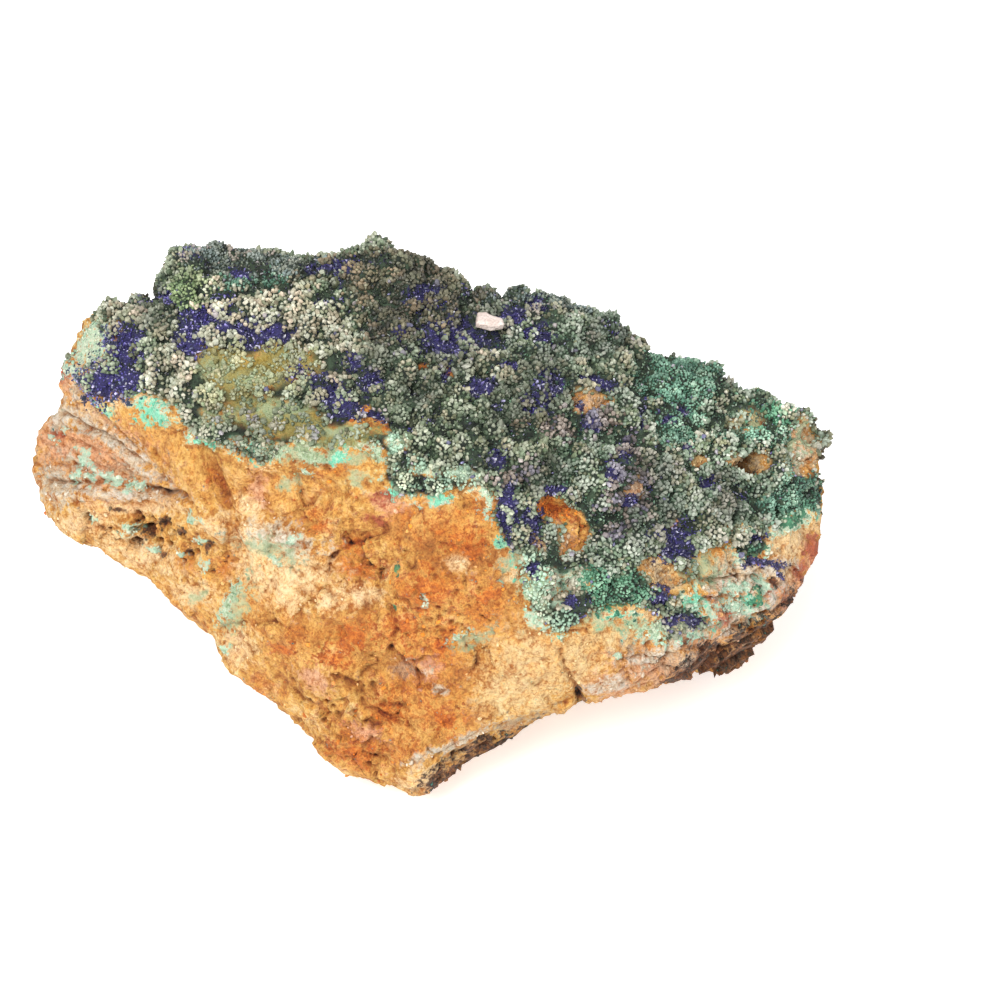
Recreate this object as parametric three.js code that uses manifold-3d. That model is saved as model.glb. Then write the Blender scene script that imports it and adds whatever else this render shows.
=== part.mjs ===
// A malachite and azurite specimen: a wedge of limonite rock with a crust of malachite lumps grown over its
// upper face, and a pale chip of stone that lies loose on the crust. Millimetres, +X right, +Y back, +Z up.
// The origin is at the middle of the rock's outline, on the surface that it stands on.
import * as THREE from "three";
import { ConvexHull } from "three/addons/math/ConvexHull.js";
import { ImprovedNoise } from "three/addons/math/ImprovedNoise.js";
import { mergeVertices } from "three/addons/utils/BufferGeometryUtils.js";
import Module from "manifold-3d";

const wasm = await Module();
wasm.setup();

// ---- driving dimensions, in millimetres ----

// The show side is measured square to a sight line that looks down on the rock from this distance.
const SIGHT_TILT = THREE.MathUtils.degToRad(38);
const EYE_DISTANCE = 560;
// The front corner hangs clear of the table. The flat foot lies this far below the sight centre.
const FOOT_LEVEL = -41.5;
// Every landmark can be seen from this point inside the rock.
const HEART = new THREE.Vector3(-8, 8, -12);

// Crust: its thickness, flat-topped lumps of malachite, and the clumps that the lumps gather in.
const CRUST_THICKNESS = 0.4;
const LUMP = { spacing: 3, width: 2, height: 1.4, sides: 5 };
const CLUMP = { pitch: 12, height: 1.3 };
// Matrix: scooped fractures, waves and grit.
const SCOOP = { pitch: 12, height: 2.1 };
const WAVE = { pitch: 17, height: 1.3 };
const GRIT = { pitch: 5, height: 0.8 };

// How close the points of the surface lie, and the number of random throws that fill it.
const SPACING = { valley: 1.3, front: 1.75, hidden: 2.5 };
const THROWS = 60000;
// Throws are spread over the rock's length, which is greater than its depth and height.
const STRETCH = new THREE.Vector3(1.7, 1, 0.8);
// Broken edges are worn round over about this angle, as seen from the heart.
const WEAR_ANGLE = 0.025;

// The loose chip: a flake lying on the crust, and the gap that it keeps to the lumps below.
const CHIP = { across: -1.8, up: 26, length: 4.4, width: 2.9, thickness: 1.7, turn: -0.18 };
const CHIP_GAP = 0.3;
// The crust is left smooth around the chip, out to about this distance.
const CHIP_SEAT_RADIUS = 3.4;

// ---- landmarks of the show side: across, up, and how much nearer than the sight centre ----

const BACK_RIM = [
  [-55, 29.5, -12], [-52, 31.5, -13], [-48, 37, -12], [-41, 36.6, -14], [-34.5, 37, -14], [-24.5, 36, -15],
  [-21, 38, -11], [-16, 38.4, -9], [-9.5, 34.6, -10], [-6, 32.2, -10.5], [-1, 30, -11], [3.2, 31, -10],
  [9, 29.2, -10], [13.5, 28.2, -12], [19.2, 26.6, -10], [22.6, 21.8, -12], [32, 19, -12], [37, 15.4, -13],
  [44, 12.8, -13], [47.6, 9, -15],
];
const CRUST_FACE = [
  [-60, 29, -9], [-57, 21, -3], [-51, 28, -7], [-49, 32, -6], [-46, 20, 3], [-38, 31, -4], [-33, 21, 4],
  [-25, 31, -3], [-23, 20, 7], [-16, 29, 0], [-12, 19, 6], [-7, 26, -2], [-5, 10, 11], [6, 23, -3], [8, 11, 6],
  [14, 3, 9], [20, 15, -2], [26, 7, 2], [33, 13, -6], [38.5, 8, -7], [24, -4, 6], [37, -2, -2], [45, 4, -9],
];
const CRUST_EDGE = [
  [-67, 20, -14], [-61, 16, -8], [-52.5, 13.5, -1], [-45, 8, 5], [-36, 7, 9], [-25.5, 9, 11], [-17, 5.5, 13],
  [-9, 1.5, 15], [-1, 2, 14], [1, -7, 13], [5, -15, 12], [12, -18, 11], [21, -16, 8], [28.5, -19.5, 3],
  [36, -15, -1], [42, -7, -6], [48.5, -2.5, -11],
];
const FRONT_FACE = [
  [-54, 9, -4], [-50, 3.5, -1], [-43, -3, 3.5], [-42, 3, 2.5], [-38, -7, 2], [-36, 0, 7], [-30, -9, 6.5],
  [-25, 1, 10.5], [-21, -6, 9], [-12, -6, 13], [-8, -14, 12.5], [-4, -22, 9.5], [-16, -20, 9], [-16, -27, 5],
  [-11, -30, 7], [-31, -22, 2], [-22, -33, 3], [-13, -38, 4.4], [3, -27, 7.6], [12, -23, 8], [11, -28.5, 5],
  [18, -27, 4.5], [25, -24, 1.5], [-42, -14, -2],
];
const LEFT_LOBE = [
  [-66, 14.5, -15], [-67.5, 13, -17], [-71, 11, -19], [-63, 8, -13], [-71.5, 3.5, -19], [-51, 1, -6],
  [-61, 0.5, -10], [-70.5, -1.5, -19], [-66.5, -4.6, -17], [-55, -6, -8.5], [-64, 26, -15],
];
const LOWER_RIM = [
  [49.6, 1.5, -14], [49.2, -7.5, -13], [46.4, -12, -12], [42.8, -14.8, -8], [37, -18.6, -5], [32, -21.8, -4],
  [26, -27, -3], [15, -30, 0.5], [11.5, -30.6, 0.5], [0.4, -33.4, 3.4], [-7.6, -37.2, 4], [-13, -41.6, 2.8],
  [-12.5, -45.2, -2], [-24.7, -40.6, -3], [-30.5, -33.6, -5],
  [-34.5, -31, -6], [-42, -25.6, -8], [-43, -22, -8], [-52.5, -13, -12],
];
// Knobs of the underside that show below the rim.
const UNDER_KNOBS = [
  [1.6, -36.4, -5], [-5.4, -41.2, -4], [29, -26, -13], [34.5, -26.8, -18], [38.4, -22.4, -17],
  [42.4, -17.2, -14],
];

// ---- landmarks that the show side hides: x, y, z from the same centre, with the foot at FOOT_LEVEL ----

const BACK_FACE = [
  [-60, 31, 0], [-50, 40, 5], [-31, 45, 6], [-14, 44, 8], [3, 40, 2], [20, 33, 1], [36, 27, -5], [48, 18, -10],
  [-64, 26, -14], [-46, 45, -14], [-22, 50, -10], [2, 47, -12], [24, 41, -14], [42, 28, -20],
];
const UNDERCUT = [
  [-58, 16, -22], [-53, 27, -28], [-46, 12, -30], [-39, 1, -31], [-26, -11, -37], [-8, -14, -39], [7, -6, -34],
  [20, 0, -32], [44, 12, -25], [43, 22, -30],
];
const FOOT = [
  [-13, -15, -43], [-24, -6, -43], [-33, 8, -43], [-40, 22, -43], [-37, 36, -43], [-16, 44, -43], [8, 43, -43],
  [29, 37, -43], [38, 26, -43], [35, 13, -43], [18, 7, -43], [1, -3, -43], [-14, 12, -43], [8, 24, -43],
];

// ---- single features of the show side: hollows and humps at (across, up), with a radius and a depth ----

const FEATURES = [
  { name: "limonite window in the crust", at: [10, -5], radius: 6, depth: 1.8 },
  { name: "cavity at the right of the crust", at: [38.5, 6], radius: 2.8, depth: 3.2 },
  { name: "vug in the left lobe", at: [-53, -6.5], radius: 3.6, depth: 2.6 },
  { name: "second vug of the left lobe", at: [-46.5, -7.5], radius: 2.6, depth: 1.4 },
  { name: "crevice behind the left shoulder", at: [-51, 29.5], radius: 3, depth: 1.4 },
  { name: "hollow of the front face", at: [-13, -24], radius: 6, depth: 2 },
  { name: "notch of the lower rim", at: [12, -30], radius: 2.4, depth: 1.6 },
  { name: "dip between the crust ridges", at: [-1, 22], radius: 8, depth: 1.6 },
  { name: "hump above the front corner", at: [-26, -31], radius: 6, depth: -1.2 },
  { name: "knob below the crust's tongue", at: [7, -12], radius: 3.4, depth: -1.4 },
  { name: "ridge of the left band", at: [-44, 3], radius: 4.5, depth: -1.3 },
];

// ---- the rock's body: flat faces between landmarks, worn at the edges ----

const noise = new ImprovedNoise();
const RIGHT = new THREE.Vector3(1, 0, 0);
const UP_IN_SIGHT = new THREE.Vector3(0, Math.sin(SIGHT_TILT), Math.cos(SIGHT_TILT));
const TOWARDS_EYE = new THREE.Vector3(0, -Math.cos(SIGHT_TILT), Math.sin(SIGHT_TILT));

// The point that the eye sees at (across, up) and that is `near` nearer than the sight centre.
function seen([across, up, near]) {
  const closing = 1 - near / EYE_DISTANCE;
  return new THREE.Vector3()
    .addScaledVector(RIGHT, across * closing)
    .addScaledVector(UP_IN_SIGHT, up * closing)
    .addScaledVector(TOWARDS_EYE, near);
}

// Where the eye sees a point: across and up.
function sighted(point) {
  const closing = 1 - point.dot(TOWARDS_EYE) / EYE_DISTANCE;
  return new THREE.Vector2(point.dot(RIGHT), point.dot(UP_IN_SIGHT)).divideScalar(closing);
}

function marked(points, crust) {
  return points.map((point) => ({ point, crust }));
}

const landmarks = [
  ...marked(BACK_RIM.map(seen), 0.8),
  ...marked(CRUST_FACE.map(seen), 1),
  ...marked(CRUST_EDGE.map(seen), 0.5),
  ...marked(FRONT_FACE.map(seen), 0),
  ...marked(LEFT_LOBE.map(seen), 0),
  ...marked(LOWER_RIM.map(seen), 0),
  ...marked(UNDER_KNOBS.map(seen), 0),
  ...marked([...BACK_FACE, ...UNDERCUT, ...FOOT].map((at) => new THREE.Vector3(...at)), 0),
];

// Triangles between neighbouring landmarks: neighbours are found by their directions from the heart.
function facetsBetween(marks) {
  const byDirection = new Map(marks.map((mark) => [mark.point.clone().sub(HEART).normalize(), mark]));
  const hull = new ConvexHull().setFromPoints([...byDirection.keys()]);
  return hull.faces.map(({ edge }) => {
    const corners = [edge.prev, edge, edge.next].map((side) => byDirection.get(side.head().point));
    const triangle = new THREE.Triangle(...corners.map((mark) => mark.point));
    const crust = new THREE.Vector3(...corners.map((mark) => mark.crust));
    return { triangle, crust, normal: triangle.getNormal(new THREE.Vector3()) };
  });
}

const facets = facetsBetween(landmarks);

// The body's radius, share of crust and normal in one direction from the heart.
function castFrom(direction) {
  const ray = new THREE.Ray(HEART, direction);
  const hit = new THREE.Vector3();
  const shares = new THREE.Vector3();
  for (const { triangle, crust, normal } of facets) {
    if (!ray.intersectTriangle(triangle.a, triangle.b, triangle.c, false, hit)) continue;
    triangle.getBarycoord(hit, shares);
    return { radius: hit.distanceTo(HEART), crust: shares.dot(crust), normal };
  }
  throw new Error("no facet lies in this direction");
}

// The same, averaged over a small cone, which rounds the edges between the facets.
function wornBody(direction) {
  const side = new THREE.Vector3(0.31, 0.77, 0.56).cross(direction).normalize();
  const mean = { radius: 0, crust: 0, normal: new THREE.Vector3() };
  const turns = 6;
  for (let i = 0; i <= turns; i++) {
    const tilted = direction.clone();
    if (i > 0) {
      const lean = side.clone().applyAxisAngle(direction, (i * 2 * Math.PI) / turns);
      tilted.addScaledVector(lean, WEAR_ANGLE).normalize();
    }
    const cast = castFrom(tilted);
    mean.radius += cast.radius / (turns + 1);
    mean.crust += cast.crust / (turns + 1);
    mean.normal.add(cast.normal);
  }
  mean.normal.normalize();
  return mean;
}

// ---- surface relief, as a height in millimetres over the worn body ----

// Repeatable random numbers between 0 and 1.
function randomSource(seed) {
  let state = seed;
  return () => {
    state = (state + 0x6d2b79f5) | 0;
    let mixed = Math.imul(state ^ (state >>> 15), 1 | state);
    mixed = (mixed + Math.imul(mixed ^ (mixed >>> 7), 61 | mixed)) ^ mixed;
    return ((mixed ^ (mixed >>> 14)) >>> 0) / 2 ** 32;
  };
}

const random = randomSource(11);

function waves(point, pitch, seed) {
  return noise.noise(point.x / pitch + seed, point.y / pitch - seed, point.z / pitch + seed / 2);
}

// A repeatable offset between 0 and 1 for a lattice cell.
function jitter(i, j, k, seed) {
  const mixed = Math.sin(i * 127.1 + j * 311.7 + k * 74.7 + seed * 53.3) * 43758.5453;
  return mixed - Math.floor(mixed);
}

// Scoops that meet in sharp ridges, as rough stone breaks: 0 on the ridges, -1 in the middle of a scoop.
function scoops(point, pitch) {
  const cell = point.clone().divideScalar(pitch);
  const base = cell.clone().floor();
  let nearest = 1;
  for (let i = -1; i <= 1; i++)
    for (let j = -1; j <= 1; j++)
      for (let k = -1; k <= 1; k++) {
        const corner = [base.x + i, base.y + j, base.z + k];
        const centre = new THREE.Vector3(...corner.map((value, axis) => value + jitter(...corner, axis + 1)));
        nearest = Math.min(nearest, centre.distanceTo(cell));
      }
  return nearest * nearest - 1;
}

function matrixRelief(point) {
  return (
    SCOOP.height * (scoops(point, SCOOP.pitch) + 0.7) +
    WAVE.height * waves(point, WAVE.pitch, 5) +
    GRIT.height * waves(point, GRIT.pitch, 7)
  );
}

// Hollows and humps of the show side fade out on faces that turn away from the eye.
function featureRelief(point) {
  if (point.dot(TOWARDS_EYE) < -24) return 0;
  const at = sighted(point);
  let height = 0;
  for (const { at: [across, up], radius, depth } of FEATURES) {
    const away = Math.hypot(at.x - across, at.y - up) / radius;
    if (away < 1) height -= depth * (1 - away * away) ** 2;
  }
  return height;
}

// Lumps are left low under the chip, so that it lies flat.
function seatShare(point) {
  const at = sighted(point);
  const away = Math.hypot(at.x - CHIP.across, at.y - CHIP.up);
  return THREE.MathUtils.smoothstep(away, CHIP_SEAT_RADIUS * 0.8, CHIP_SEAT_RADIUS * 1.4);
}

// Height of the surface at a point of the body; `lump` is the height of the malachite lump there, if any.
function reliefAt(point, crust, lump) {
  const covered = THREE.MathUtils.smoothstep(crust, 0.45, 0.6);
  const bumps = seatShare(point) * (lump + CLUMP.height * waves(point, CLUMP.pitch, 3));
  return covered * (CRUST_THICKNESS + bumps) + (1 - covered) * matrixRelief(point) + featureRelief(point);
}

// ---- the points of the surface ----

// Points that keep their distance: a shelf of small cells finds the neighbours of a new one.
class Spread {
  constructor(cellSize) {
    this.cellSize = cellSize;
    this.cells = new Map();
  }

  cellOf(at) {
    return at.clone().divideScalar(this.cellSize).floor();
  }

  isFree(at, distance) {
    const { x, y, z } = this.cellOf(at);
    for (let i = -1; i <= 1; i++)
      for (let j = -1; j <= 1; j++)
        for (let k = -1; k <= 1; k++)
          for (const other of this.cells.get([x + i, y + j, z + k].join()) ?? [])
            if (other.distanceTo(at) < distance) return false;
    return true;
  }

  add(at) {
    const key = this.cellOf(at).toArray().join();
    if (!this.cells.has(key)) this.cells.set(key, []);
    this.cells.get(key).push(at);
  }
}

function thrownDirection() {
  const height = 2 * random() - 1;
  const turn = 2 * Math.PI * random();
  const radius = Math.sqrt(1 - height * height);
  const thrown = new THREE.Vector3(radius * Math.cos(turn), radius * Math.sin(turn), height);
  return thrown.multiply(STRETCH).normalize();
}

function onBody(direction, radius) {
  return direction.clone().multiplyScalar(radius).add(HEART);
}

// The corners of one lump's flat top, around its centre on the body.
function lumpCorners(centre, outward) {
  const along = new THREE.Vector3(0.3, 0.8, -0.5).cross(outward).normalize();
  const radius = (LUMP.width / 2) * (0.8 + 0.4 * random());
  const height = LUMP.height * (0.6 + 0.8 * random());
  const start = random();
  return Array.from({ length: LUMP.sides }, (_, i) => {
    const turn = ((i + start + 0.3 * random()) * 2 * Math.PI) / LUMP.sides;
    const at = centre.clone().addScaledVector(along.clone().applyAxisAngle(outward, turn), radius);
    return { direction: at.sub(HEART).normalize(), lump: height };
  });
}

// Lumps come first; then points fill the valleys between them and the bare rock.
function surfacePoints() {
  const lumps = new Spread(LUMP.spacing);
  const spread = new Spread(SPACING.hidden);
  const kept = [];
  const keep = (direction, lump) => {
    const { radius, crust, normal } = wornBody(direction);
    const at = onBody(direction, radius);
    spread.add(at);
    kept.push({ direction, at: at.clone().addScaledVector(normal, reliefAt(at, crust, lump)) });
  };
  const throws = Array.from({ length: THROWS }, () => {
    const direction = thrownDirection();
    const { radius, crust, normal } = castFrom(direction);
    return { direction, at: onBody(direction, radius), crust, normal };
  });
  for (const { at, crust, normal } of throws) {
    if (crust < 0.58 || !lumps.isFree(at, LUMP.spacing)) continue;
    lumps.add(at);
    for (const { direction, lump } of lumpCorners(at, normal)) keep(direction, lump);
  }
  for (const { direction, at, crust } of throws) {
    const isShown = at.dot(TOWARDS_EYE) > -22;
    const spacing = crust > 0.5 ? SPACING.valley : isShown ? SPACING.front : SPACING.hidden;
    if (spread.isFree(at, spacing)) keep(direction, 0);
  }
  return kept;
}

// ---- solids ----

function asSolid(geometry) {
  const bare = geometry.clone();
  bare.deleteAttribute("normal");
  bare.deleteAttribute("uv");
  const merged = mergeVertices(bare, 1e-4);
  return new wasm.Manifold(
    new wasm.Mesh({
      numProp: 3,
      vertProperties: new Float32Array(merged.attributes.position.array),
      triVerts: new Uint32Array(merged.index.array),
    }),
  );
}

function asGeometry(solid) {
  const { vertProperties, triVerts } = solid.getMesh();
  const geometry = new THREE.BufferGeometry();
  geometry.setAttribute("position", new THREE.BufferAttribute(new Float32Array(vertProperties), 3));
  geometry.setIndex(new THREE.BufferAttribute(new Uint32Array(triVerts), 1));
  geometry.computeVertexNormals();
  return geometry;
}

// The points joined to their neighbours into one closed skin, with the flat foot cut off below.
function rockGeometry() {
  const places = new Map(surfacePoints().map(({ direction, at }) => [direction, at]));
  const hull = new ConvexHull().setFromPoints([...places.keys()]);
  const corners = hull.faces.flatMap((face) => [face.edge.prev, face.edge, face.edge.next]);
  const skin = new THREE.BufferGeometry().setFromPoints(corners.map((edge) => places.get(edge.head().point)));
  const depth = 40;
  const below = new THREE.BoxGeometry(300, 300, depth).translate(0, 0, FOOT_LEVEL - depth / 2);
  return asGeometry(asSolid(skin).subtract(asSolid(below)));
}

// A flake with a straight and a slanted side, bevelled all round.
function chipGeometry() {
  const { length, width, thickness } = CHIP;
  const bevel = 0.35;
  const outline = new THREE.Shape([
    new THREE.Vector2(-length / 2, -width * 0.42),
    new THREE.Vector2(length * 0.1, -width / 2),
    new THREE.Vector2(length / 2, -width * 0.3),
    new THREE.Vector2(length * 0.46, width * 0.16),
    new THREE.Vector2(length * 0.02, width * 0.3),
    new THREE.Vector2(-length * 0.14, width / 2),
    new THREE.Vector2(-length * 0.44, width * 0.4),
  ]);
  return new THREE.ExtrudeGeometry(outline, {
    depth: thickness - 2 * bevel,
    bevelThickness: bevel,
    bevelSize: bevel,
    bevelOffset: -bevel,
    bevelSegments: 1,
  }).translate(0, 0, bevel);
}

// ---- the finished specimen ----

const rock = new THREE.Mesh(
  rockGeometry(),
  new THREE.MeshStandardMaterial({ color: 0xb98248, roughness: 0.9, metalness: 0 }),
);
rock.name = "malachite_specimen";

// Where a line of sight first meets the body.
function bodySeenAt(across, up) {
  const eye = TOWARDS_EYE.clone().multiplyScalar(EYE_DISTANCE);
  const sight = new THREE.Ray(eye, seen([across, up, 0]).sub(eye).normalize());
  const hits = facets
    .map(({ triangle: { a, b, c } }) => sight.intersectTriangle(a, b, c, true, new THREE.Vector3()))
    .filter((hit) => hit !== null);
  return hits.sort((one, other) => one.distanceTo(eye) - other.distanceTo(eye))[0];
}

// The chip lies on the highest lumps below it, tilted with the crust there.
function seatChip(chip, carrier) {
  const middle = bodySeenAt(CHIP.across, CHIP.up);
  const right = bodySeenAt(CHIP.across + 2.5, CHIP.up);
  const below = bodySeenAt(CHIP.across, CHIP.up - 2.5);
  const along = right.clone().sub(middle).normalize();
  const normal = along.clone().cross(middle.clone().sub(below)).normalize();
  const back = normal.clone().cross(along);
  const turned = new THREE.Matrix4().makeBasis(along, back, normal);
  chip.quaternion.setFromRotationMatrix(turned);
  chip.rotateZ(CHIP.turn);
  const intoChip = chip.quaternion.clone().invert();
  const positions = carrier.geometry.attributes.position;
  const at = new THREE.Vector3();
  const margin = SPACING.valley / 2;
  let highest = -Infinity;
  for (let i = 0; i < positions.count; i++) {
    at.fromBufferAttribute(positions, i).sub(middle).applyQuaternion(intoChip);
    const isUnder = Math.abs(at.x) < CHIP.length / 2 + margin && Math.abs(at.y) < CHIP.width / 2 + margin;
    if (isUnder) highest = Math.max(highest, at.z);
  }
  chip.position.copy(middle).addScaledVector(normal, highest + CHIP_GAP);
}

const chip = new THREE.Mesh(
  chipGeometry(),
  new THREE.MeshStandardMaterial({ color: 0xcdbcb2, roughness: 0.7, metalness: 0 }),
);
chip.name = "pale_chip";
seatChip(chip, rock);

const specimen = new THREE.Group();
specimen.add(rock, chip);
rock.geometry.computeBoundingBox();
const middle = rock.geometry.boundingBox.getCenter(new THREE.Vector3());
specimen.position.set(-middle.x, -middle.y, -FOOT_LEVEL);

export default specimen;
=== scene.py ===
"""Dresses the malachite specimen: limonite rock with a crust of malachite and azurite.

The rock's surface is worked out in millimetres in the row frame. The show side is mapped by how
far across and up a point lies, seen along the sight line that the specimen is shown from.
"""

from __future__ import annotations

import logging
import math
from dataclasses import dataclass, field
from enum import Enum

import bmesh
import bpy
import numpy as np
from mathutils import Matrix, Vector

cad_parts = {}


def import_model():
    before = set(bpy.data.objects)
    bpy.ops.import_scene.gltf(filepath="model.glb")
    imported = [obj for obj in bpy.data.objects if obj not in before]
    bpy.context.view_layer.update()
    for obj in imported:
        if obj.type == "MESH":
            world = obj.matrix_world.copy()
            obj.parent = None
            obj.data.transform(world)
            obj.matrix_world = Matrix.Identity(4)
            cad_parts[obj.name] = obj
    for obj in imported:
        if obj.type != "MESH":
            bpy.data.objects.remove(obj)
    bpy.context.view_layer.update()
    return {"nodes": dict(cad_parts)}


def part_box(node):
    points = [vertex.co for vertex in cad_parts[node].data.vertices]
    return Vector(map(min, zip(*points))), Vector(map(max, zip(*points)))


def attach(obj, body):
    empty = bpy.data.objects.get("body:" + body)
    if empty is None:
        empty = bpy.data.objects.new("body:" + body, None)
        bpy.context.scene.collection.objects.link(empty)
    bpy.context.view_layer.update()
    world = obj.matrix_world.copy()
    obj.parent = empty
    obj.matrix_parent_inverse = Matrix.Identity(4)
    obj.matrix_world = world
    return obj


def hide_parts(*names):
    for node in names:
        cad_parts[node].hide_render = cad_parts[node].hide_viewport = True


LOG = logging.getLogger("malachite_specimen")

MM = 0.001
SEED = 20
TRIANGLES_PER_PIECE = 190_000
# Points closer together than this are one point.
WELD_MM = 0.001
# Nothing grows lower than this, so that the rock stands on its own foot.
GROUND_CLEARANCE_MM = 2.5
# Shorter than any direction: it keeps a division from failing.
TINY = 1e-12
# Farther than any point of the specimen.
FAR_MM = 1e9

Array = np.ndarray
Material = bpy.types.Material
Object = bpy.types.Object
Socket = bpy.types.NodeSocket
# How far across and how far up points are seen on the show side, in millimetres.
Seen = tuple[Array, Array]
Pair = tuple[float, float]
Triple = tuple[float, float, float]
Palette = tuple[str, ...]


# -------- colours and noise

# Each noise below has a seed of its own, so that no two patterns line up.


def linear(colour: str) -> Triple:
    """Turns an sRGB hex colour into linear light.

    Args:
        colour: Six hex digits after a hash sign.

    Returns:
        Red, green and blue between 0 and 1.
    """
    parts = (int(colour[i : i + 2], 16) / 255 for i in (1, 3, 5))
    return tuple(
        part / 12.92 if part <= 0.04045 else ((part + 0.055) / 1.055) ** 2.4 for part in parts
    )


def smoothstep(values: Array, low: float, high: float) -> Array:
    """Rises smoothly from 0 at low to 1 at high."""
    share = np.clip((values - low) / (high - low), 0, 1)
    return share * share * (3 - 2 * share)


def lattice(cells: Array, seed: int) -> Array:
    """Gives each whole-number cell its own repeatable number.

    Args:
        cells: Whole numbers, with x, y and z along the last axis.
        seed: Picks one of many such fields.

    Returns:
        Numbers between 0 and 1, one per cell.
    """
    x, y, z = (cells[..., i].astype(np.int64) for i in range(3))
    mixed = (x * 73856093) ^ (y * 19349663) ^ (z * 83492791) ^ (seed * 961748927)
    mixed = ((mixed ^ (mixed >> 13)) * 1274126177) & 0x7FFFFFFF
    mixed = ((mixed ^ (mixed >> 15)) * 1103515245) & 0x7FFFFFFF
    return ((mixed >> 7) & 0xFFFF) / 0xFFFF


def waves(points: Array, pitch: float, seed: int, octaves: int = 1) -> Array:
    """Smooth noise between about -1 and 1.

    Args:
        points: Places in millimetres.
        pitch: Size of the broadest waves in millimetres.
        seed: Picks one of many such fields.
        octaves: How many times the waves are repeated at half the size and half the height.

    Returns:
        One number per point.
    """
    total = np.zeros(len(points))
    for octave in range(octaves):
        at = points * (2**octave / pitch) + seed * 7.31
        base = np.floor(at)
        share = at - base
        share = share * share * (3 - 2 * share)
        layer = np.zeros(len(points))
        for corner in np.ndindex(2, 2, 2):
            weight = np.prod(np.where(corner, share, 1 - share), axis=1)
            layer += weight * lattice(base + np.array(corner), seed + octave)
        total += (2 * layer - 1) * 0.5**octave
    return total / (2 - 0.5 ** (octaves - 1))


def warped(points: Array, push: float, pitch: float, seed: int) -> Array:
    """Pushes points about, so that what is worked out from them is uneven.

    Args:
        points: Places in millimetres.
        push: The largest push in millimetres.
        pitch: Size of the waves that push them, in millimetres.
        seed: Picks the first of the three fields for x, y and z.

    Returns:
        The pushed places.
    """
    return points + push * np.stack([waves(points, pitch, seed + i) for i in range(3)], axis=1)


def cells(points: Array, pitch: float, seed: int) -> tuple[Array, Array, Array]:
    """Finds the nearest of scattered centres, as in a pile of stones.

    Args:
        points: Places in millimetres.
        pitch: Usual distance between centres in millimetres.
        seed: Picks one of many such fields.

    Returns:
        Distance to the nearest centre in pitches, that centre's own number, and a slope across
        its stone, about -0.5 to 0.5.
    """
    at = points / pitch + seed * 3.17
    base = np.floor(at)
    nearest = np.full(len(points), FAR_MM)
    home = base.copy()
    for step in np.ndindex(3, 3, 3):
        cell = base + np.array(step) - 1
        centre = cell + np.stack([lattice(cell, seed + i) for i in (1, 2, 3)], axis=1)
        away = np.linalg.norm(centre - at, axis=1)
        closer = away < nearest
        home[closer] = cell[closer]
        nearest = np.minimum(nearest, away)
    centre = home + np.stack([lattice(home, seed + i) for i in (1, 2, 3)], axis=1)
    lean = 2 * np.stack([lattice(home, seed + i) for i in (5, 6, 7)], axis=1) - 1
    return nearest, lattice(home, seed + 4), np.sum(lean * (at - centre), axis=1)


# -------- the show side


@dataclass(frozen=True)
class Sight:
    """The sight line that the show side is mapped along, in millimetres in the row frame."""

    tilt: float = math.radians(38)
    distance: float = 560.0
    centre: Triple = (10.87, -11.42, 41.5)
    width: float = 150.0
    sensor: float = 36.0
    nearest_m: float = 0.01

    @property
    def right(self) -> Array:
        """Direction that reads as across."""
        return np.array([1.0, 0.0, 0.0])

    @property
    def up(self) -> Array:
        """Direction that reads as up."""
        return np.array([0.0, math.sin(self.tilt), math.cos(self.tilt)])

    @property
    def toward(self) -> Array:
        """Direction from the specimen to the eye."""
        return np.array([0.0, -math.cos(self.tilt), math.sin(self.tilt)])

    def seen(self, points: Array) -> Seen:
        """Says where the eye sees points.

        Args:
            points: Places in millimetres in the row frame.

        Returns:
            How far across and how far up each is seen from the sight centre.
        """
        offset = points - np.array(self.centre)
        closing = 1 - offset @ self.toward / self.distance
        return offset @ self.right / closing, offset @ self.up / closing

    def camera(self) -> Object:
        """Makes the camera that looks along the sight line.

        Returns:
            The scene's camera.
        """
        data = bpy.data.cameras.new("sight_camera")
        data.sensor_width = self.sensor
        data.lens = self.sensor * self.distance / self.width
        data.clip_start = self.nearest_m
        camera = bpy.data.objects.new("sight_camera", data)
        axes = Matrix((self.right, self.up, self.toward)).transposed()
        place = Vector(np.array(self.centre) + self.toward * self.distance) * MM
        camera.matrix_world = Matrix.Translation(place) @ axes.to_4x4()
        bpy.context.scene.collection.objects.link(camera)
        bpy.context.scene.camera = camera
        return camera


@dataclass(frozen=True)
class Patch:
    """An oval patch of the show side.

    across and up place its middle. wide and high are half its width and height in millimetres,
    and turn is in degrees.
    """

    across: float
    up: float
    wide: float
    high: float
    turn: float = 0.0

    def reach(self, seen: Seen) -> Array:
        """Measures how deep points lie in the patch.

        Args:
            seen: Where the points are seen.

        Returns:
            1 in the middle, 0 on the edge and less outside, down to -1.
        """
        turn = math.radians(self.turn)
        x, y = seen[0] - self.across, seen[1] - self.up
        along = (x * math.cos(turn) + y * math.sin(turn)) / self.wide
        over = (y * math.cos(turn) - x * math.sin(turn)) / self.high
        return np.clip(1 - np.hypot(along, over), -1, 1)


@dataclass(frozen=True)
class Hidden:
    """How a mineral spreads over the faces that the show side doesn't map.

    pitch is the width of its patches in millimetres. level is the noise level that it starts
    at: 0 covers half of those faces, 1 none.
    """

    pitch: float = 12.0
    level: float = 1.0


@dataclass(frozen=True)
class Stain:
    """A mineral or stain that colours the rock's surface.

    Its two colours mottle it. frayed says how ragged its edge is, soft how wide the edge's blend
    is, and strength how much of what lies beneath it covers.
    """

    colours: tuple[str, str]
    hidden: Hidden = Hidden()
    frayed: float = 0.8
    soft: float = 1.1
    strength: float = 0.75
    patches: tuple[Patch, ...] = ()


# Short names keep the long tables readable.
P = Patch

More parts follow.
